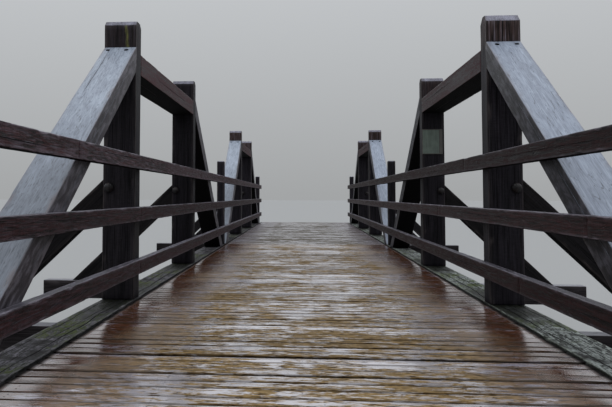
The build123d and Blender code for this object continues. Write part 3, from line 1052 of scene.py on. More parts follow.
# Knee braces, out of the sun and darker.
KNEES = replace(POSTS, name="creosoted_knee_timber_sawn", body="#1d1b1b", bloom_shade="#2b2c2c",
                bloom="#5a5b5e", crown=None, patina_share=0.25)
# The first left post, with a run of lichen down its head, and a paler body: painted light for the open
# sky that falls on its side toward the deck.
LICHENED = replace(POSTS, name="creosoted_post_timber_lichened", body="#2a272b",
                   lichen_x=-1.659)
# End braces, planed by weather on top to a silver sheet with short dark flecks.
LEFT_BRACES = TimberFinish(
    "silvered_brace_timber_sawn", shade="#19171b", body="#464147", under="#0f0e0f",
    bloom_shade="#737b88", bloom="#a6b0bd", arris="#6b6568", contrast=0.16,
    fibre_mm=(130.0, 14.0), band_mm=(300.0, 80.0), waver=0.9, fleck_mm=(60.0, 12.0),
    split=0.01, rough=(0.35, 0.55), gloss=0.35, relief_mm=0.9, spread=0.12,
    patina="#75727a", patina_share=0.8, patina_mm=(170.0, 45.0), darkening=(2.9, 3.7, 0.52))
# The right braces, darker, with the figure of the growth rings showing as fine wavy lines.
RIGHT_BRACES = replace(
    LEFT_BRACES, name="weathered_brace_timber_sawn", body="#1f1e22", bloom_shade="#6a7280",
    bloom="#9ea8b7", contrast=0.15, fibre_mm=(420.0, 16.0), waver=1.8, fleck_mm=(90.0, 9.0),
    fleck=0.1, split_mm=(420.0, 30.0), split=0.012, patina="#5f5e67", patina_share=0.7,
    patina_mm=(120.0, 40.0), darkening=(2.9, 3.7, 0.9))
# Straining beams, stained red-brown where the posts' heads keep the rain off their sides.
BEAMS = TimberFinish(
    "stained_beam_timber_sawn", shade="#1b0f12", body="#4e3337", under="#0a090a",
    bloom_shade="#56575e", bloom="#8e919b", arris="#5d4a48", contrast=0.06,
    fibre_mm=(45.0, 9.0), waver=0.8, gloss=0.06, saw=0.12, spread=0.4)
# Rails, bandsawn and stained: torn reddish-brown faces and pale rubbed top edges.
RAILS = TimberFinish(
    "stained_rail_plank_bandsawn", shade="#0b0708", body="#412a2b", under="#0d0a0a",
    bloom_shade="#2c282c", bloom="#6a6872", arris="#817b85", contrast=0.07,
    fibre_mm=(150.0, 12.0), band_mm=(700.0, 30.0), waver=1.6, fleck=0.5, rough=(0.4, 0.65),
    gloss=0.1, relief_mm=5.0, patina="#5d565f", patina_share=0.5, patina_mm=(150.0, 12.0), saw=0.22,
    spread=0.35)
# The right railing, darker and redder, with less of the grey bloom.
RIGHT_RAILS = replace(RAILS, name="stained_rail_plank_bandsawn_dark", body="#3a2525",
                      patina="#4d4549", patina_share=0.4)
# Bottom chords, split and flaking, with moss in the hollows of their tops, and darker round the
# posts' feet: wet through, and painted shade of the posts.
CHORDS = TimberFinish(
    "weathered_chord_timber_mossy", shade="#10110e", body="#2b292a", under="#0c0b0b",
    bloom_shade="#1d201a", bloom="#a3aaa6", arris="#838a80", contrast=0.05,
    fibre_mm=(130.0, 42.0), band_mm=(420.0, 70.0), waver=3.2, fleck_mm=(150.0, 26.0), split=0.02,
    rough=(0.5, 0.7), relief_mm=6.0, gloss=0.05, growth="#465216", growth_share=0.8, fleck=0.9,
    spread=0.4, cover=0.85, feet=(5.7, 1.75))
# The left pair: darker, with less bleached cover, as painted shade of the trees.
LEFT_CHORDS = replace(CHORDS, name="weathered_chord_timber_soaked", bloom_shade="#1c1a1b",
                      bloom="#75737a", arris="#6c6b6d", cover=0.7)
# Floor beams, joists and trestles: preserved, with bleached tops where they stand clear.
FLOOR = TimberFinish(
    "preserved_floor_timber_sawn", shade="#0d0c0d", body="#302c2e", under="#111010",
    bloom_shade="#4d4c52", bloom="#94959c", arris="#5a5556", rough=(0.45, 0.7), gloss=0.2)
# The near span's boards: trodden brown wood under patches of rain that shine, in painted reflection.
BOARDS = WetBoards()
# The far span's boards, greyer and paler, with less of the brown: painted sheen of the sky, as
# the far deck is seen at a grazing angle.
FAR_BOARDS = replace(BOARDS, name="rough_sawn_deck_boards_bleached", olive="#625b4c", russet="#42302e",
                     worn="#aaa8ab", shaded="#aeacb7", film_at=(0.512, 0.525), sheen=(0.0, 0.45))


# Which finish each kind of piece has
FINISHES: dict[str, TimberFinish | WetBoards | ForgedIron | PlainCoat] = {
    "post": POSTS,
    "lichened": LICHENED,
    "left_brace": LEFT_BRACES,
    "right_brace": RIGHT_BRACES,
    "knee": KNEES,
    "beam": BEAMS,
    "left_rail": RAILS,
    "right_rail": RIGHT_RAILS,
    "left_chord": LEFT_CHORDS,
    "right_chord": CHORDS,
    "floor": FLOOR,
    "near_board": BOARDS,
    "far_board": FAR_BOARDS,
    "iron": ForgedIron(),
    "sheet": PlainCoat("notice_sheet_acrylic", skin="#5f6b62", stain="#4c564f", rough=0.3),
    "trim": PlainCoat("notice_frame_timber_painted", skin="#4d4b47", stain="#3a3836", rough=0.45),
}


# The bridge


@dataclass(frozen=True)
class Levels:
    """Levels and faces that several pieces share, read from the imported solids."""

    deck_top: float
    chord_top: float
    chord_under: float
    truss_inner: float
    truss_outer: float

    @classmethod
    def read(cls) -> "Levels":
        """Reads the boxes of the deck and of one chord."""
        deck_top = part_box("near_deck")[1].z
        low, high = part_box("near_right_bottom_chord")
        return cls(deck_top, high.z, low.z, low.x, high.x)


@dataclass
class Fittings:
    """What every sub-assembly needs: the levels, the finishes and a list of what was made."""

    levels: Levels
    finishes: dict[str, bpy.types.Material]
    made: list[bpy.types.Object] = field(default_factory=list)

    def fix(self, piece: bpy.types.Object, slot: str, *nodes: str) -> None:
        """Fixes a piece to the bridge.

        Args:
            piece: The piece.
            slot: Not used.
            nodes: Solids that it stands for.
        """
        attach(piece, BODY)
        if nodes:
            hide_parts(*nodes)
        self.made.append(piece)
        log.info("%s: %d faces", piece.name, len(piece.data.polygons))

    def mount(self, name: str, shells: Sequence[Shell], finish: str, slot: str, *nodes: str,
              crisp_deg: float = CRISP_DEG) -> None:
        """Makes one piece of several shells and fixes it to the bridge.

        Args:
            name: Name of the piece.
            shells: What it is made of.
            finish: Which finish it has.
            slot: Slot of the record, handed on to fix.
            nodes: Solids that it stands for.
            crisp_deg: Edges that turn by more than this stay crisp.
        """
        piece = Shell.joined(shells).piece(name, self.finishes[finish], crisp_deg)
        self.fix(piece, slot, *nodes)


def sloping(way: Array, angle: float) -> tuple[Array, Array]:
    """Directions along a timber that falls by an angle on its way, and square to it, upwards."""
    cos, sin = math.cos(angle), math.sin(angle)
    return way * cos - UP * sin, way * sin + UP * cos


def raked_ends(depth: float, angle: float, length: float, foot_step: float,
               head_step: float = 0.0) -> tuple[End, End]:
    """Ends of a brace: upright at its head and level at its foot.

    Args:
        depth: Depth of the brace.
        angle: Its slope.
        length: Length of its upper face.
        foot_step: How far the step at its foot comes down from the upper face.
        head_step: The same at its head, or 0 where the head has no step.

    Returns:
        The head and the foot.
    """
    half = depth / 2
    step = ((half - head_step, 0.0),) if head_step else ()
    head = ((-half, depth * math.tan(angle)), *step, (half, 0.0))
    foot = ((-half, length - depth / math.tan(angle)), (half - foot_step, length), (half, length))
    return End(head, JOINED_END), End(foot, JOINED_END)


def scatter(seed: int, faces: Sequence[Face], count: int, width: float,
            depth: float) -> tuple[Check, ...]:
    """Chooses drying checks, at most one in each face's share.

    Args:
        seed: Chooses them.
        faces: Faces that get them, in turn.
        count: How many.
        width: At the widest.
        depth: At the widest.

    Returns:
        The checks.
    """
    rng = np.random.default_rng(seed)
    made: list[Check] = []
    for n in range(count):
        face = faces[n % len(faces)]
        start = rng.uniform(0.02, 0.45)
        stop = min(0.98, start + rng.uniform(0.3, 0.6))
        turn, turns = n // len(faces), math.ceil(count / len(faces))
        place = 0.12 + 0.76 * ((turn + rng.uniform(0.3, 0.7)) / turns)
        made.append(Check(face, place, start, stop, width * rng.uniform(0.6, 1.1),
                          depth * rng.uniform(0.7, 1.1), wander=0.006))
    return tuple(made)


@dataclass
class Assembly:
    """A group of pieces that are made and fixed together."""

    kit: Fittings

    def raise_all(self) -> None:
        """Makes all its pieces."""


@dataclass
class Trusses(Assembly):
    """Queen posts, end braces, straining beams and bottom chords of both trusses.

    Attributes:
        seed: First of the numbers that choose grain and checks.
        brace_depth: Depth of an end brace.
        head_bevel: Size of the bevel on a post's head.
        sink_radius: Radius of a sunk bolt hole.
        sink_depth: Its depth.
        sink_setback: How far along the bridge the holes stand from the post.
        sink_outer_edge: From the truss's outer face to the outer hole.
        sink_spacing: Between the two holes.
        chord_checks: Place, start, length, width and wander of each check in a chord's top.
        heads: Bevel and tone of the posts that stand out from the rest.
    """

    seed: int = 100
    brace_depth: float = 0.2
    head_bevel: float = 0.045
    sink_radius: float = 0.021
    sink_depth: float = 0.034
    sink_setback: float = 0.055
    sink_outer_edge: float = 0.049
    sink_spacing: float = 0.17
    chord_checks: tuple[tuple[float, ...], ...] = (
        (0.27, 0.0, 0.98, 0.014, 0.022), (0.47, 0.1, 0.35, 0.006, 0.01),
        (0.63, 0.3, 0.6, 0.011, 0.012), (0.82, 0.05, 0.5, 0.008, 0.01))
    heads: dict[str, Pair] = field(default_factory=lambda: {
        "first_left": (0.04, 0.3), "first_right": (0.06, 0.75), "second_right": (0.045, 0.45)})

    def post(self, name: str, seed: int) -> None:
        """Makes a queen post, from the chord to its bevelled head.

        Args:
            name: Name of its solid.
            seed: Chooses its grain and checks.
        """
        low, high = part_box(name)
        bevel, tone = self.heads.get(name.replace("_queen_post", ""), (self.head_bevel, None))
        head = End.bevelled(high.z - self.kit.levels.chord_top, bevel)
        stick = Timber(
            high.x - low.x, high.y - low.y, End.square(0.0), head, seed, arris=0.007, chip=0.009,
            step=0.045, columns=(5, 4), wave=0.002, arc=4, tone=tone,
            checks=scatter(seed, (Face.UNDER, Face.UPPER, Face.LEFT, Face.RIGHT), 5, 0.005, 0.03))
        foot = ((low.x + high.x) / 2, (low.y + high.y) / 2, self.kit.levels.chord_top)
        shell = stick.build(Axes.lay(foot, UP, ALONG))
        finish = "lichened" if name.startswith("first_left") else "post"
        self.kit.mount(name.replace("queen_post", "post"), [shell], finish, "post_timber", name)

    def brace(self, side: Side, station: Station, seed: int) -> None:
        """Makes an end brace with stepped ends and two sunk bolt holes near its head.

        Args:
            side: Side of the bridge.
            station: Its queen post.
            seed: Chooses its grain and checks.
        """
        which = f"{station.value}_{side.word}"
        name = f"{which}_end_brace"
        low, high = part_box(name)
        post_low, post_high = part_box(f"{which}_queen_post")
        out, top = station.outward, self.kit.levels.chord_top
        face = post_high.y if out > 0 else post_low.y
        toe = high.y if out > 0 else low.y
        inner = low.y if out > 0 else high.y
        angle = math.atan2(high.z - top, abs(toe - face))
        ends = raked_ends(
            self.brace_depth, angle, abs(toe - face) / math.cos(angle),
            foot_step=(top - low.z) / math.cos(angle), head_step=abs(inner - face) / math.sin(angle))
        along, up = sloping(out * ALONG, angle)
        middle = np.array(((low.x + high.x) / 2, face, high.z)) - up * (self.brace_depth / 2)
        stick = Timber(
            high.x - low.x, self.brace_depth, *ends, seed, arris=0.007, chip=0.01, step=0.045,
            columns=(6, 4), wave=0.002, checks=self.brace_checks(side, station, seed), arc=4,
            tone=0.5 if station in (Station.FIRST, Station.SECOND) else 0.8)
        axes = Axes.lay(middle, along, up)
        piece = stick.build(axes).piece(f"{which}_brace", self.kit.finishes[f"{side.word}_brace"])
        self.bore(piece, axes, side, angle)
        self.kit.fix(piece, "brace_timber", name)

    def brace_checks(self, side: Side, station: Station, seed: int) -> tuple[Check, ...]:
        """Drying checks of a brace: a few in its sides, and on the first left one a thin one on top."""
        sides = scatter(seed, (Face.RIGHT, Face.LEFT), count=3, width=0.005, depth=0.02)
        if (side, station) == (Side.LEFT, Station.FIRST):
            top = Check(Face.UPPER, place=0.79, start=0.01, stop=0.24, width=0.0035, depth=0.015,
                        wander=0.006)
            return (top, *sides)
        return sides

    def bore(self, piece: bpy.types.Object, axes: Axes, side: Side, angle: float) -> None:
        """Cuts the two sunk holes out of a brace's mesh.

        Args:
            piece: The brace.
            axes: Where it lies.
            side: Side of the bridge.
            angle: Slope of the brace.
        """
        station = self.sink_setback / math.cos(angle)
        drill = Turned(((self.sink_radius, -self.sink_depth), (self.sink_radius, 0.02)), 24)
        outer = side.value * (self.kit.levels.truss_outer - self.sink_outer_edge)
        centres = []
        for x in (outer, outer - side.value * self.sink_spacing):
            across = (x - axes.origin[0]) * axes.across[0]
            centres.append(axes.place(*(np.array(c) for c in (station, across, self.brace_depth / 2))))
        drills = Shell.joined([drill.build(c, axes.up) for c in centres])
        # painted shade: the sunk holes are coloured like the bottom of a check
        drills.wear[:] = (0.2, 0.0, 0.0, 1.0)  # as dark as the bottom of a check
        cutter = drills.piece("drill", piece.data.materials[0])
        cut = piece.modifiers.new("sunk_holes", "BOOLEAN")
        cut.operation, cut.solver, cut.object = "DIFFERENCE", "EXACT", cutter
        graph = bpy.context.evaluated_depsgraph_get()
        mesh = bpy.data.meshes.new_from_object(piece.evaluated_get(graph))
        piece.modifiers.clear()
        old, piece.data = piece.data, mesh
        mesh.name = piece.name
        bpy.data.objects.remove(cutter)
        bpy.data.meshes.remove(old)
        mesh.shade_smooth()
        mesh.set_sharp_from_angle(angle=math.radians(CRISP_DEG))

    def beam(self, name: str, seed: int) -> None:
        """Makes a straining beam between two posts.

        Args:
            name: Name of its solid.
            seed: Chooses its grain and checks.
        """
        low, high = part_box(name)
        span, side = name.split("_")[:2]
        first, last = QUEEN_POSTS[span]
        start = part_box(f"{first}_{side}_queen_post")[1].y
        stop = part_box(f"{last}_{side}_queen_post")[0].y
        stick = Timber(
            high.x - low.x, high.z - low.z, End.square(start, JOINED_END), End.square(stop, JOINED_END),
            seed, arris=0.007, chip=0.01, step=0.045, columns=(5, 4), wave=0.002, arc=4,
            checks=scatter(seed, (Face.LEFT, Face.UNDER, Face.RIGHT, Face.UPPER), 4, 0.006, 0.024),
            tone=0.6 if side == "left" else 0.2)
        shell = stick.build(Axes.lay(((low.x + high.x) / 2, 0.0, (low.z + high.z) / 2), ALONG, UP))
        piece = name.replace("top_beam", "straining_beam")
        self.kit.mount(piece, [shell], "beam", "beam_timber", name)

    def chord(self, name: str, seed: int) -> None:
        """Makes a bottom chord, with the deep lengthwise checks of its top.

        Args:
            name: Name of its solid.
            seed: Chooses its grain and checks.
        """
        low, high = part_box(name)
        left = low.x < 0
        tops = tuple(
            Check(Face.UPPER, 1 - place if left else place, start, start + run, width, 0.035, stray)
            for place, start, run, width, stray in self.chord_checks)
        stick = Timber(
            high.x - low.x, high.z - low.z, End.square(low.y), End.square(high.y), seed,
            arris=0.008, chip=0.012, step=0.06, columns=(9, 3), wave=0.004, ripple=0.0016,
            checks=tops + scatter(seed, (Face.LEFT, Face.RIGHT), 2, 0.006, 0.02), arc=4,
            tone=0.4 if left else 0.45)
        shell = stick.build(Axes.lay(((low.x + high.x) / 2, 0.0, (low.z + high.z) / 2), ALONG, UP))
        finish = "left_chord" if left else "right_chord"
        self.kit.mount(name.replace("bottom_", ""), [shell], finish, "chord_timber", name)

    def raise_all(self) -> None:
        """Makes both trusses."""
        seed = self.seed
        for station in Station:
            for side in Side:
                self.post(f"{station.value}_{side.word}_queen_post", seed)
                self.brace(side, station, seed + 7)
                seed += 13
        for span in SPANS:
            for side in Side:
                self.beam(f"{span}_{side.word}_top_beam", seed)
                self.chord(f"{span}_{side.word}_bottom_chord", seed + 7)
                seed += 13


@dataclass
class KneeBraces(Assembly):
    """Knee braces outside the trusses, with the domed heads of the pins that hold them.

    Attributes:
        seed: First of the numbers that choose grain and checks.
        depth: Depth of a brace.
        pin_setback: From a post's outer face to its pin.
        pin_drop: From the brace's head down to the pin.
        dome_radius: Radius of a pin's head.
        dome_height: How far it stands out.
        rim_height: Height of the rim under the dome.
        bedding: How far the head goes into the post.
    """

    seed: int = 400
    depth: float = 0.19
    pin_setback: float = 0.058
    pin_drop: float = 0.08
    dome_radius: float = 0.046
    dome_height: float = 0.04
    rim_height: float = 0.006
    bedding: float = 0.008

    def pair(self, station: Station, seed: int) -> None:
        """Makes the two braces of one station and their pins.

        Args:
            station: Their queen posts.
            seed: Chooses their grain.
        """
        name = f"{station.value}_knee_braces"
        low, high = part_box(name)
        levels = self.kit.levels
        face, reach = levels.truss_outer, high.x
        angle = math.atan2(high.z - levels.chord_under, reach - face)
        ends = raked_ends(self.depth, angle, (reach - face) / math.cos(angle),
                          foot_step=(levels.chord_under - low.z) / math.cos(angle))
        sticks = []
        for side in Side:
            along, up = sloping(side.value * ACROSS, angle)
            stick = Timber(
                high.y - low.y, self.depth, *ends, seed + side.value, chip=0.008, step=0.05,
                columns=(4, 4), wave=0.002,
                checks=scatter(seed + side.value, (Face.UPPER, Face.LEFT, Face.RIGHT), 3, 0.005, 0.02))
            head = np.array((side.value * face, (low.y + high.y) / 2, high.z)) - up * (self.depth / 2)
            sticks.append(stick.build(Axes.lay(head, along, up)))
        self.kit.mount(f"{station.value}_knees", sticks, "knee", "brace_timber", name)
        self.pins(station, high.z - self.pin_drop)

    def pins(self, station: Station, level: float) -> None:
        """Makes the domed heads on both faces of both posts.

        A dome is a quarter ellipse turned round its pin, on a short upright rim.

        Args:
            station: The posts' station.
            level: Height of the pins.
        """
        radius, rim = self.dome_radius, self.rim_height
        dome = [(radius * 0.96, -self.bedding), (radius, rim - 0.002)]
        dome += [
            (radius * math.cos(a), rim + (self.dome_height - rim) * math.sin(a))
            for a in np.linspace(0, math.pi / 2, 7)[:-1]
        ]
        dome.append((0.004, self.dome_height))
        turned = Turned(tuple(dome), 28)
        heads = []
        for side in Side:
            low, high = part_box(f"{station.value}_{side.word}_queen_post")
            x = side.value * (self.kit.levels.truss_outer - self.pin_setback)
            heads.append(turned.build((x, low.y, level), -ALONG))
            heads.append(turned.build((x, high.y, level), ALONG))
        self.kit.mount(f"{station.value}_pin_heads", heads, "iron", "post_timber",
                       crisp_deg=TURNED_CRISP_DEG)

    def raise_all(self) -> None:
        """Makes all the pairs."""
        for number, station in enumerate(Station):
            self.pair(station, self.seed + 11 * number)


@dataclass
class Railings(Assembly):
    """Three rails a side in butted lengths, and the rail posts at the ends of the spans.

    Attributes:
        seed: First of the numbers that choose the rails' grain.
        post_seed: The same for the rail posts.
        undersides: Height of each rail's underside above the deck.
        rail_depth: Depth of a rail.
        rail_thickness: Its thickness.
        rail_length: Length of the pieces past the last joint in view.
        left_joints: Places of the joints in view in each rail of the left side.
        right_joints: The same on the right.
        butt_gap: Gap at a joint.
        steps: Distance between stations on the near span's pieces and on the far span's.
        left_tones: Tone of each rail of the left side.
        right_tones: The same on the right.
        bolt_radius: Radius of a bolt's head.
    """

    seed: int = 500
    post_seed: int = 720
    undersides: tuple[float, float, float] = (0.222, 0.695, 1.164)
    rail_depth: float = 0.13
    rail_thickness: float = 0.07
    rail_length: float = 5.7
    left_joints: tuple[tuple[float, ...], ...] = ((-7.6,), (-7.6,), (-9.43,))
    right_joints: tuple[tuple[float, ...], ...] = ((-8.65,), (-9.93, -5.5), (-6.9,))
    butt_gap: float = 0.002
    steps: Pair = (0.05, 0.09)
    left_tones: tuple[float, float, float] = (0.35, 0.25, 0.85)
    right_tones: tuple[float, float, float] = (0.1, 0.4, 0.05)
    bolt_radius: float = 0.009

    def rails(self, side: Side, seed: int) -> None:
        """Makes the rails of one side.

        Args:
            side: Side of the bridge.
            seed: Chooses their grain.
        """
        name = f"{side.word}_rails"
        low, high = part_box(name)
        left = side is Side.LEFT
        joints = self.left_joints if left else self.right_joints
        tones = self.left_tones if left else self.right_tones
        sticks = []
        for under, near, tone in zip(self.undersides, joints, tones):
            stops = [low.y, *near[:-1], *np.arange(near[-1], high.y, self.rail_length), high.y]
            level = self.kit.levels.deck_top + under + self.rail_depth / 2
            for start, stop in zip(stops, stops[1:]):
                gap = self.butt_gap / 2
                stick = Timber(
                    high.x - low.x, self.rail_depth, End.square(start + gap), End.square(stop - gap),
                    seed, arris=0.007, chip=0.012, step=self.steps[0] if start < 0 else self.steps[1],
                    columns=(2, 5), wave=0.004, ripple=0.0016, arc=4, tone=tone,
                    checks=scatter(seed, (Face.LEFT, Face.RIGHT, Face.UPPER), 2, 0.004, 0.01))
                sticks.append(stick.build(Axes.lay(((low.x + high.x) / 2, 0.0, level), ALONG, UP)))
                seed += 5
        self.kit.mount(f"{side.word}_railing", sticks, f"{side.word}_rail", "rail_timber", name)

    def bolts(self, side: Side) -> None:
        """Makes the heads of the bolts that hold each rail to the posts, on the rails' inner faces.

        Args:
            side: Side of the bridge.
        """
        posts = [f"{s.value}_{side.word}_queen_post" for s in Station]
        posts += [f"{where}_rail_posts" for where in TRESTLES]
        r = self.bolt_radius
        head = Turned(((r, -0.008), (r, 0.001), (r * 0.75, 0.003), (0.002, 0.0035)), 10)
        face = -side.value * ACROSS
        heads = []
        for post in posts:
            low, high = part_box(post)
            for under in self.undersides:
                level = self.kit.levels.deck_top + under + self.rail_depth * 0.55
                x = side.value * (self.kit.levels.truss_inner - self.rail_thickness + 0.003)
                heads.append(head.build((x, (low.y + high.y) / 2, level), face))
        self.kit.mount(f"{side.word}_rail_bolts", heads, "iron", "rail_timber", crisp_deg=TURNED_CRISP_DEG)

    def posts(self, where: str, seed: int) -> None:
        """Makes the two rail posts of one trestle.

        Args:
            where: Name of the trestle.
            seed: Chooses their grain.
        """
        name = f"{where}_rail_posts"
        low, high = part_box(name)
        levels = self.kit.levels
        size = high.y - low.y
        head = End.square(high.z - levels.chord_top, RAIL_POST_END)
        sticks = []
        for side in Side:
            stick = Timber(size, size, End.square(0.0), head, seed, step=0.05, columns=(3, 3),
                           checks=scatter(seed, tuple(Face), 3, 0.005, 0.018))
            foot = (side.value * (high.x - size / 2), (low.y + high.y) / 2, levels.chord_top)
            sticks.append(stick.build(Axes.lay(foot, UP, ALONG)))
            seed += 3
        self.kit.mount(f"{where}_railing_posts", sticks, "post", "post_timber", name)

    def raise_all(self) -> None:
        """Makes both railings."""
        for number, side in enumerate(Side):
            self.rails(side, self.seed + 100 * number)
            self.bolts(side)
        for number, where in enumerate(TRESTLES):
            self.posts(where, self.post_seed + 17 * number)


@dataclass
class Deck(Assembly):
    """Boards laid across the bridge, each nailed to the joists, and the joists.

    Attributes:
        seed: First of the numbers that choose the boards' differences.
        joist_seed: The same for the joists.
        pitch: From one board to the next.
        gap: Least gap between two boards, and how much wider it may be.
        ragged: How far a board may stop short at either end.
        cup: Largest rise or fall of a board's middle against its edges.
        tilt: Largest rise or fall of an edge against the middle.
        hollow: Depth of the trodden hollows.
        hollow_run: Length along the board and width over which they change.
        settle: How low a board may lie.
        nail_head: Pairs of radius and height of a nail's head.
        nail_inset: From a board's edge to its nails.
        nail_stray: How far a nail strays along the board, as a standard deviation.
        joist_lines: Lines of joists on each side of the middle one.
        joist_width: Width of a joist.
        joist_spacing: From one line to the next.
        joist_gap: How far each joist stops short at either end.
    """

    seed: int = 900
    joist_seed: int = 3100
    pitch: float = 0.1425
    gap: Pair = (0.005, 0.008)
    ragged: float = 0.006
    cup: float = 0.0035
    tilt: float = 0.0025
    hollow: float = 0.0035
    hollow_run: Pair = (0.42, 0.09)
    settle: float = 0.003
    nail_head: Pairs = ((0.0035, -0.004), (0.0055, -0.0005), (0.0048, 0.0004))
    nail_inset: float = 0.035
    nail_stray: float = 0.008
    joist_lines: int = 2
    joist_width: float = 0.1
    joist_spacing: float = 0.7
    joist_gap: float = 0.001

    def lines(self) -> range:
        """The lines of joists, counted from the middle one."""
        return range(-self.joist_lines, self.joist_lines + 1)

    def boards(self, span: str, seed: int) -> None:
        """Makes the boards of one span and their nails.

        Boards shrink unevenly, cup, tilt and sit a little high or low, so that no two catch the
        light alike. A cup lowers a point of the top by the square of its distance from the middle
        line, or by the rest of that square where the middle sinks. A tilt lowers it by its
        distance from the higher edge.

        Args:
            span: Near or far.
            seed: Chooses their differences.
        """
        name = f"{span}_deck"
        low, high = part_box(name)
        count = round((high.y - low.y) / self.pitch)
        pitch = (high.y - low.y) / count
        rng = np.random.default_rng(seed)
        thick = high.z - low.z
        shells, nails = [], []
        for number in range(count):
            width = pitch - (self.gap[0] + rng.random() * self.gap[1])
            short = rng.random(2) * self.ragged
            stick = Timber(
                width, thick, End.square(low.x + short[0]), End.square(high.x - short[1]),
                seed + number, arris=0.008, step=0.1, columns=(5, 0), plain_under=True, wave=0.0,
                ripple=0.0)
            middle = low.y + pitch * (number + 0.5)
            axes = Axes.lay((0.0, middle, (low.z + high.z) / 2), ACROSS, UP)
            shell = stick.build(axes)
            place = axes.read(shell.points)
            top = np.clip(place[:, 2] / thick + 0.5, 0, 1)
            cup = rng.uniform(-self.cup, self.cup)
            tilt = rng.uniform(-self.tilt, self.tilt)
            share = place[:, 1] / (width / 2)
            drop = abs(cup) * (share**2 if cup > 0 else 1 - share**2)
            drop = drop + abs(tilt) * (1 + np.sign(tilt) * share)
            hollows = Relief(seed + 31 * number).at(
                place[:, 0] / self.hollow_run[0], place[:, 1] / self.hollow_run[1])
            drop = drop + self.hollow * hollows + rng.random() * self.settle
            shell.points[:, 2] -= drop * top
            shells.append(shell)
            nails.append(self.nail_spots(shell.points, width, rng))
        self.kit.mount(f"{span}_deck_boards", shells, f"{span}_board", "deck_boards", name, crisp_deg=50.0)
        head = Turned(self.nail_head, 6)
        studs = [head.build(spot, UP) for spot in np.concatenate(nails)]
        self.kit.mount(f"{span}_deck_nails", studs, "iron", "deck_boards")

    def nail_spots(self, points: Array, width: float, rng: np.random.Generator) -> Array:
        """Chooses the points of a board's top that nails stand on, two at each joist.

        Args:
            points: The board's points.
            width: Its width.
            rng: Source of small differences.

        Returns:
            The chosen points.
        """
        middle = points[:, 1].mean()
        tops = points[points[:, 2] > points[:, 2].max() - 0.01]
        wanted = np.array([
            (line * self.joist_spacing + rng.normal(0, self.nail_stray),
             middle + sign * (width / 2 - self.nail_inset))
            for line in self.lines() for sign in (-1, 1)])
        away = np.hypot(tops[None, :, 0] - wanted[:, :1], tops[None, :, 1] - wanted[:, 1:])
        return tops[away.argmin(axis=1)]

    def joists(self, span: str, seed: int) -> None:
        """Makes the lines of joists of one span, butted over the floor beams.

        Args:
            span: Near or far.
            seed: Chooses their grain.
        """
        name = f"{span}_joists"
        low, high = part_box(name)
        beams = [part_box(f"{station}_floor_beam") for station in QUEEN_POSTS[span]]
        stops = [low.y, *((a.y + b.y) / 2 for a, b in beams), high.y]
        sticks = []
        for line in self.lines():
            for start, stop in zip(stops, stops[1:]):
                stick = Timber(
                    self.joist_width, high.z - low.z, End.square(start + self.joist_gap),
                    End.square(stop - self.joist_gap), seed, step=0.4, columns=(1, 2))
                axes = Axes.lay((line * self.joist_spacing, 0.0, (low.z + high.z) / 2), ALONG, UP)
                sticks.append(stick.build(axes))
                seed += 3
        self.kit.mount(f"{span}_floor_joists", sticks, "floor", "floor_timber", name)

    def raise_all(self) -> None:
        """Makes the floor of both spans."""
        for number, span in enumerate(SPANS):
            self.boards(span, self.seed + 1000 * number)
            self.joists(span, self.joist_seed + 100 * number)


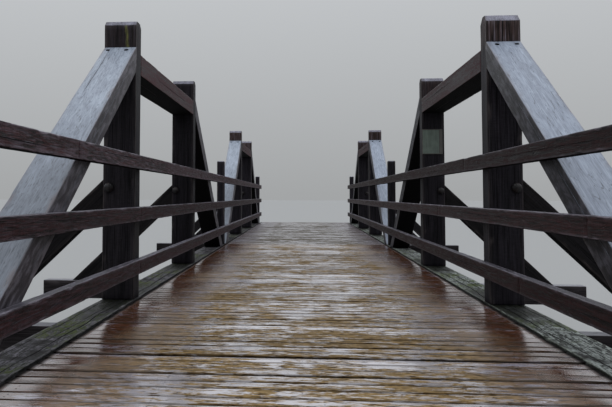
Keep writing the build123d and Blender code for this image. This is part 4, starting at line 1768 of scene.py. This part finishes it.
@dataclass
class Substructure(Assembly):
    """Floor beams that run out past the trusses, and the three trestles.

    Attributes:
        seed: First of the numbers that choose the floor beams' grain.
        trestle_seed: The same for the trestles.
        leg_spacing: From one leg to the next.
        sway_depth: Depth of a sway plank.
        sway_edge: From the ground to the middle of a plank's foot, and from its head's to the chords.
        beam_step: Distance between stations on the floor beams.
        trestle_step: The same on the trestles, which stand in shade.
    """

    seed: int = 1500
    trestle_seed: int = 1600
    leg_spacing: float = 1.725
    sway_depth: float = 0.2
    sway_edge: float = 0.15
    beam_step: float = 0.08
    trestle_step: float = 0.11

    def straight(self, node: str, piece: str, slot: str, seed: int, step: float) -> None:
        """Makes a timber that fills its solid's box, across the bridge.

        Args:
            node: Name of the solid.
            piece: Name of the piece.
            slot: Slot of the record.
            seed: Chooses its grain.
            step: Distance between stations.
        """
        low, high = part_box(node)
        stick = Timber(
            high.y - low.y, high.z - low.z, End.square(low.x, BLUNT_END), End.square(high.x, BLUNT_END),
            seed, arris=0.008, chip=0.01, step=step, columns=(4, 4), wave=0.002,
            checks=scatter(seed, (Face.UPPER, Face.LEFT, Face.RIGHT), 4, 0.007, 0.03))
        shell = stick.build(Axes.lay((0.0, (low.y + high.y) / 2, (low.z + high.z) / 2), ACROSS, UP))
        self.kit.mount(piece, [shell], "floor", slot, node)

    def trestle(self, where: str, seed: int) -> None:
        """Makes one trestle: cap, sill, three legs and two crossed planks.

        Args:
            where: Its name.
            seed: Chooses its grain.
        """
        for word, offset in (("cap", 0), ("sill", 3)):
            self.straight(f"{where}_trestle_{word}", f"{where}_{word}", "trestle_timber",
                          seed + offset, self.trestle_step)
        name = f"{where}_trestle_legs"
        low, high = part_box(name)
        size = high.y - low.y
        sticks = []
        for line in (-1, 0, 1):
            stick = Timber(
                size, size, End.square(0.0), End.square(high.z - low.z), seed + 7 + line,
                step=self.trestle_step, columns=(4, 4),
                checks=scatter(seed + line, tuple(Face), 4, 0.007, 0.03))
            foot = (line * self.leg_spacing, (low.y + high.y) / 2, low.z)
            sticks.append(stick.build(Axes.lay(foot, UP, ALONG)))
        self.kit.mount(f"{where}_legs", sticks, "floor", "trestle_timber", name)
        self.sway(where, seed + 11)

    def sway(self, where: str, seed: int) -> None:
        """Makes the two crossed planks, with upright ends.

        Args:
            where: Name of the trestle.
            seed: Chooses their grain.
        """
        name = f"{where}_sway_braces"
        low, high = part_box(name)
        leg_low, leg_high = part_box(f"{where}_trestle_legs")
        angle = math.atan2(self.kit.levels.chord_under - 2 * self.sway_edge, high.x - low.x)
        half = self.sway_depth / 2
        skew = half * math.tan(angle)
        length = (high.x - low.x) / math.cos(angle)
        start = End(((-half, -skew), (half, skew)), PLANK_END)
        finish = End(((-half, length - skew), (half, length + skew)), PLANK_END)
        sticks = []
        for turn, (y0, y1) in ((-1, (low.y, leg_low.y)), (1, (leg_high.y, high.y))):
            stick = Timber(
                y1 - y0, self.sway_depth, start, finish, seed + turn, step=self.trestle_step,
                columns=(1, 4), checks=scatter(seed + turn, (Face.LEFT, Face.RIGHT), 2, 0.004, 0.01))
            foot = np.array((-turn * high.x, (y0 + y1) / 2, self.sway_edge))
            sticks.append(stick.build(Axes.lay(foot, *sloping(turn * ACROSS, -angle))))
        self.kit.mount(f"{where}_sway_planks", sticks, "floor", "trestle_timber", name)

    def raise_all(self) -> None:
        """Makes everything under the floor."""
        for number, station in enumerate(Station):
            self.straight(f"{station.value}_floor_beam", f"{station.value}_needle_beam",
                          "floor_timber", self.seed + 9 * number, self.beam_step)
        for number, where in enumerate(TRESTLES):
            self.trestle(where, self.trestle_seed + 31 * number)


@dataclass
class NoticePanel(Assembly):
    """A bare panel in a thin frame with one broad stile, on the front of the second right post.

    Attributes:
        width: Width over the frame.
        height: Height over the frame.
        middle_x: Place of its middle across the bridge.
        middle_z: Height of its middle.
        thick: How far the frame stands out.
        sheet_share: Share of that which the sheet takes.
        frame: Width of the frame's bars.
        stile: Width of the broad one.
    """

    width: float = 0.274
    height: float = 0.34
    middle_x: float = 1.711
    middle_z: float = 3.667
    thick: float = 0.012
    sheet_share: float = 0.6
    frame: float = 0.01
    stile: float = 0.045

    def bar(self, xs: Pair, zs: Pair, thick: float,
            arris: float = 0.0015) -> Shell:
        """Makes a flat bar on the post's face.

        Args:
            xs: Its two edges.
            zs: Its foot and its head.
            thick: How far it stands out.
            arris: Radius of its arrises.

        Returns:
            The bar.
        """
        back = -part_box("second_right_queen_post")[0].y
        worn = ((0, arris), (arris, 0))
        stick = Timber(xs[1] - xs[0], thick, End.square(zs[0], worn), End.square(zs[1], worn), 5,
                       arris=arris, chip=0.0, step=0.1, wave=0.0, ripple=0.0, columns=(1, 0))
        return stick.build(Axes.lay((sum(xs) / 2, -(back + thick / 2), 0.0), UP, ALONG))

    def raise_all(self) -> None:
        """Makes the sheet and its frame."""
        x0, x1 = self.middle_x - self.width / 2, self.middle_x + self.width / 2
        z0, z1 = self.middle_z - self.height / 2, self.middle_z + self.height / 2
        f, stile = self.frame, self.stile
        sheet = self.bar((x0 + f / 2, x1 - stile / 2), (z0 + f / 2, z1 - f / 2),
                         self.thick * self.sheet_share, 0.001)
        self.kit.mount("notice_sheet", [sheet], "sheet", "post_timber")
        places = (((x0, x0 + f), (z0, z1)), ((x1 - stile, x1), (z0, z1)),
                  ((x0 + f, x1 - stile), (z0, z0 + f)), ((x0 + f, x1 - stile), (z1 - f, z1)))
        bars = [self.bar(xs, zs, self.thick) for xs, zs in places]
        self.kit.mount("notice_frame", bars, "trim", "post_timber")


# The studio


@dataclass(frozen=True)
class Studio:
    """Pale floor, soft even light and the camera at the photograph's viewpoint.

    Attributes:
        floor_size: Length of the floor's sides.
        floor_tone: Its colour.
        backdrop_low: Colour that the camera sees at the horizon.
        backdrop_high: The same high up.
        zenith: Light of the sky, as linear red, green and blue.
        horizon: The same at its foot.
        ahead: How much further down the sky is bright ahead of the camera, as a share.
        lamp_strength: Strength of the broad lamp.
        lamp_spread_deg: Its angular size.
        lamp_tilt_deg: Its tilt about X and about Y.
        lens_px: Focal length in pixels of the picture.
        place: Where the camera stands.
        yaw: Its heading, to the right of Y, in radians.
        pitch: Its tilt upwards.
        roll: Its turn about its own axis.
        shift_px: How far the picture is shifted, in pixels.
        sensor_mm: Width of the sensor.
        far_clip: How far the camera sees.
    """

    floor_size: float = 900.0
    floor_tone: str = "#9a9b9a"
    backdrop_low: str = "#a3a5a6"
    backdrop_high: str = "#c3c6c9"
    zenith: tuple[float, float, float] = (1.04, 1.07, 1.13)
    horizon: tuple[float, float, float] = (0.16, 0.17, 0.17)
    ahead: float = 0.9
    lamp_strength: float = 0.5
    lamp_spread_deg: float = 60.0
    lamp_tilt_deg: Pair = (18.0, -8.0)
    lens_px: float = 722.0
    place: tuple[float, float, float] = (-0.0443, -14.0474, 2.9289)
    yaw: float = -0.0837
    pitch: float = 0.0513
    roll: float = 0.0019
    shift_px: Pair = (63.5, -45.0)
    sensor_mm: float = 36.0
    far_clip: float = 2000.0

    def floor(self) -> None:
        """Lays a pale, matt floor on which the sills stand."""
        half = self.floor_size / 2
        corners = [(-half, -half, 0), (half, -half, 0), (half, half, 0), (-half, half, 0)]
        mesh = bpy.data.meshes.new("studio_floor")
        mesh.from_pydata(corners, [], [(0, 1, 2, 3)])
        g = Graph(bpy.data.materials.new("studio_floor_matt_paint"))
        shader = g.add("BsdfPrincipled", {"Base Color": self.floor_tone, "Roughness": 0.9,
                                          "Specular IOR Level": 0.1})
        g.add("OutputMaterial", {"Surface": shader})
        mesh.materials.append(g.owner)
        floor = bpy.data.objects.new("studio_floor", mesh)
        bpy.context.scene.collection.objects.link(floor)

    def light(self) -> None:
        """Lights the studio: a sky, dark at its foot as woods are but less so ahead, and a broad lamp.

        The camera itself sees a plain grey backdrop.
        """
        world = bpy.data.worlds.new("studio_light")
        bpy.context.scene.world = world
        g = Graph(world)
        direction = g.add("SeparateXYZ", {0: g.add("TexCoord")}).node.outputs
        height = direction[2]
        forward = g.add("MapRange", {0: direction[1], "To": (1.0, 1 + self.ahead)})
        forward = g.add("Math", {0: height, 1: forward}, "MULTIPLY")
        rise = g.add("MapRange", {0: forward, "From": (0.05, 0.52)}, interpolation_type="SMOOTHSTEP")
        light = g.add("Mix", {"Factor": rise, "A": (*self.horizon, 1.0), "B": (*self.zenith, 1.0)})
        lift = g.add("MapRange", {0: height, "From": (0.0, 0.3)})
        seen = g.add("Mix", {"Factor": lift, "A": self.backdrop_low, "B": self.backdrop_high})
        camera_ray = g.add("LightPath").node.outputs["Is Camera Ray"]
        colour = g.add("Mix", {"Factor": camera_ray, "A": light, "B": seen})
        sky = g.add("Background", {"Color": colour, "Strength": 1.0})
        g.add("OutputWorld", {"Surface": sky})
        lamp = bpy.data.lights.new("broad_lamp", "SUN")
        lamp.energy = self.lamp_strength
        lamp.angle = math.radians(self.lamp_spread_deg)
        holder = bpy.data.objects.new("broad_lamp", lamp)
        holder.rotation_euler = (*map(math.radians, self.lamp_tilt_deg), 0.0)
        bpy.context.scene.collection.objects.link(holder)

    def camera(self) -> None:
        """Sets the camera from a heading, a tilt and a roll."""
        yaw, level = self.yaw, math.cos(self.pitch)
        ahead = Vector((math.sin(yaw) * level, math.cos(yaw) * level, math.sin(self.pitch)))
        right = Vector((math.cos(yaw), -math.sin(yaw), 0.0))
        up = right.cross(ahead)
        cos, sin = math.cos(self.roll), math.sin(self.roll)
        right, up = right * cos + up * sin, up * cos - right * sin
        data = bpy.data.cameras.new("camera")
        data.sensor_width = self.sensor_mm
        data.lens = self.sensor_mm * self.lens_px / FRAME_WIDTH
        data.shift_x, data.shift_y = (shift / FRAME_WIDTH for shift in self.shift_px)
        data.clip_end = self.far_clip
        holder = bpy.data.objects.new("camera", data)
        turned = Matrix((right, up, -ahead)).transposed()
        holder.matrix_world = Matrix.Translation(self.place) @ turned.to_4x4()
        bpy.context.scene.collection.objects.link(holder)
        bpy.context.scene.camera = holder

    def set_up(self) -> None:
        """Sets up floor, light, camera and view transform."""
        self.floor()
        self.light()
        self.camera()
        bpy.context.scene.view_settings.view_transform = "Standard"


def main() -> None:
    """Builds the bridge and the studio."""
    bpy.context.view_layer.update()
    kit = Fittings(Levels.read(), {use: finish.build() for use, finish in FINISHES.items()})
    Studio().set_up()
    for assembly in (Trusses, KneeBraces, Railings, Deck, Substructure, NoticePanel):
        assembly(kit).raise_all()
    bpy.context.view_layer.update()
    log.info("pieces: %d", len(kit.made))


if __name__ == "__main__":
    main()
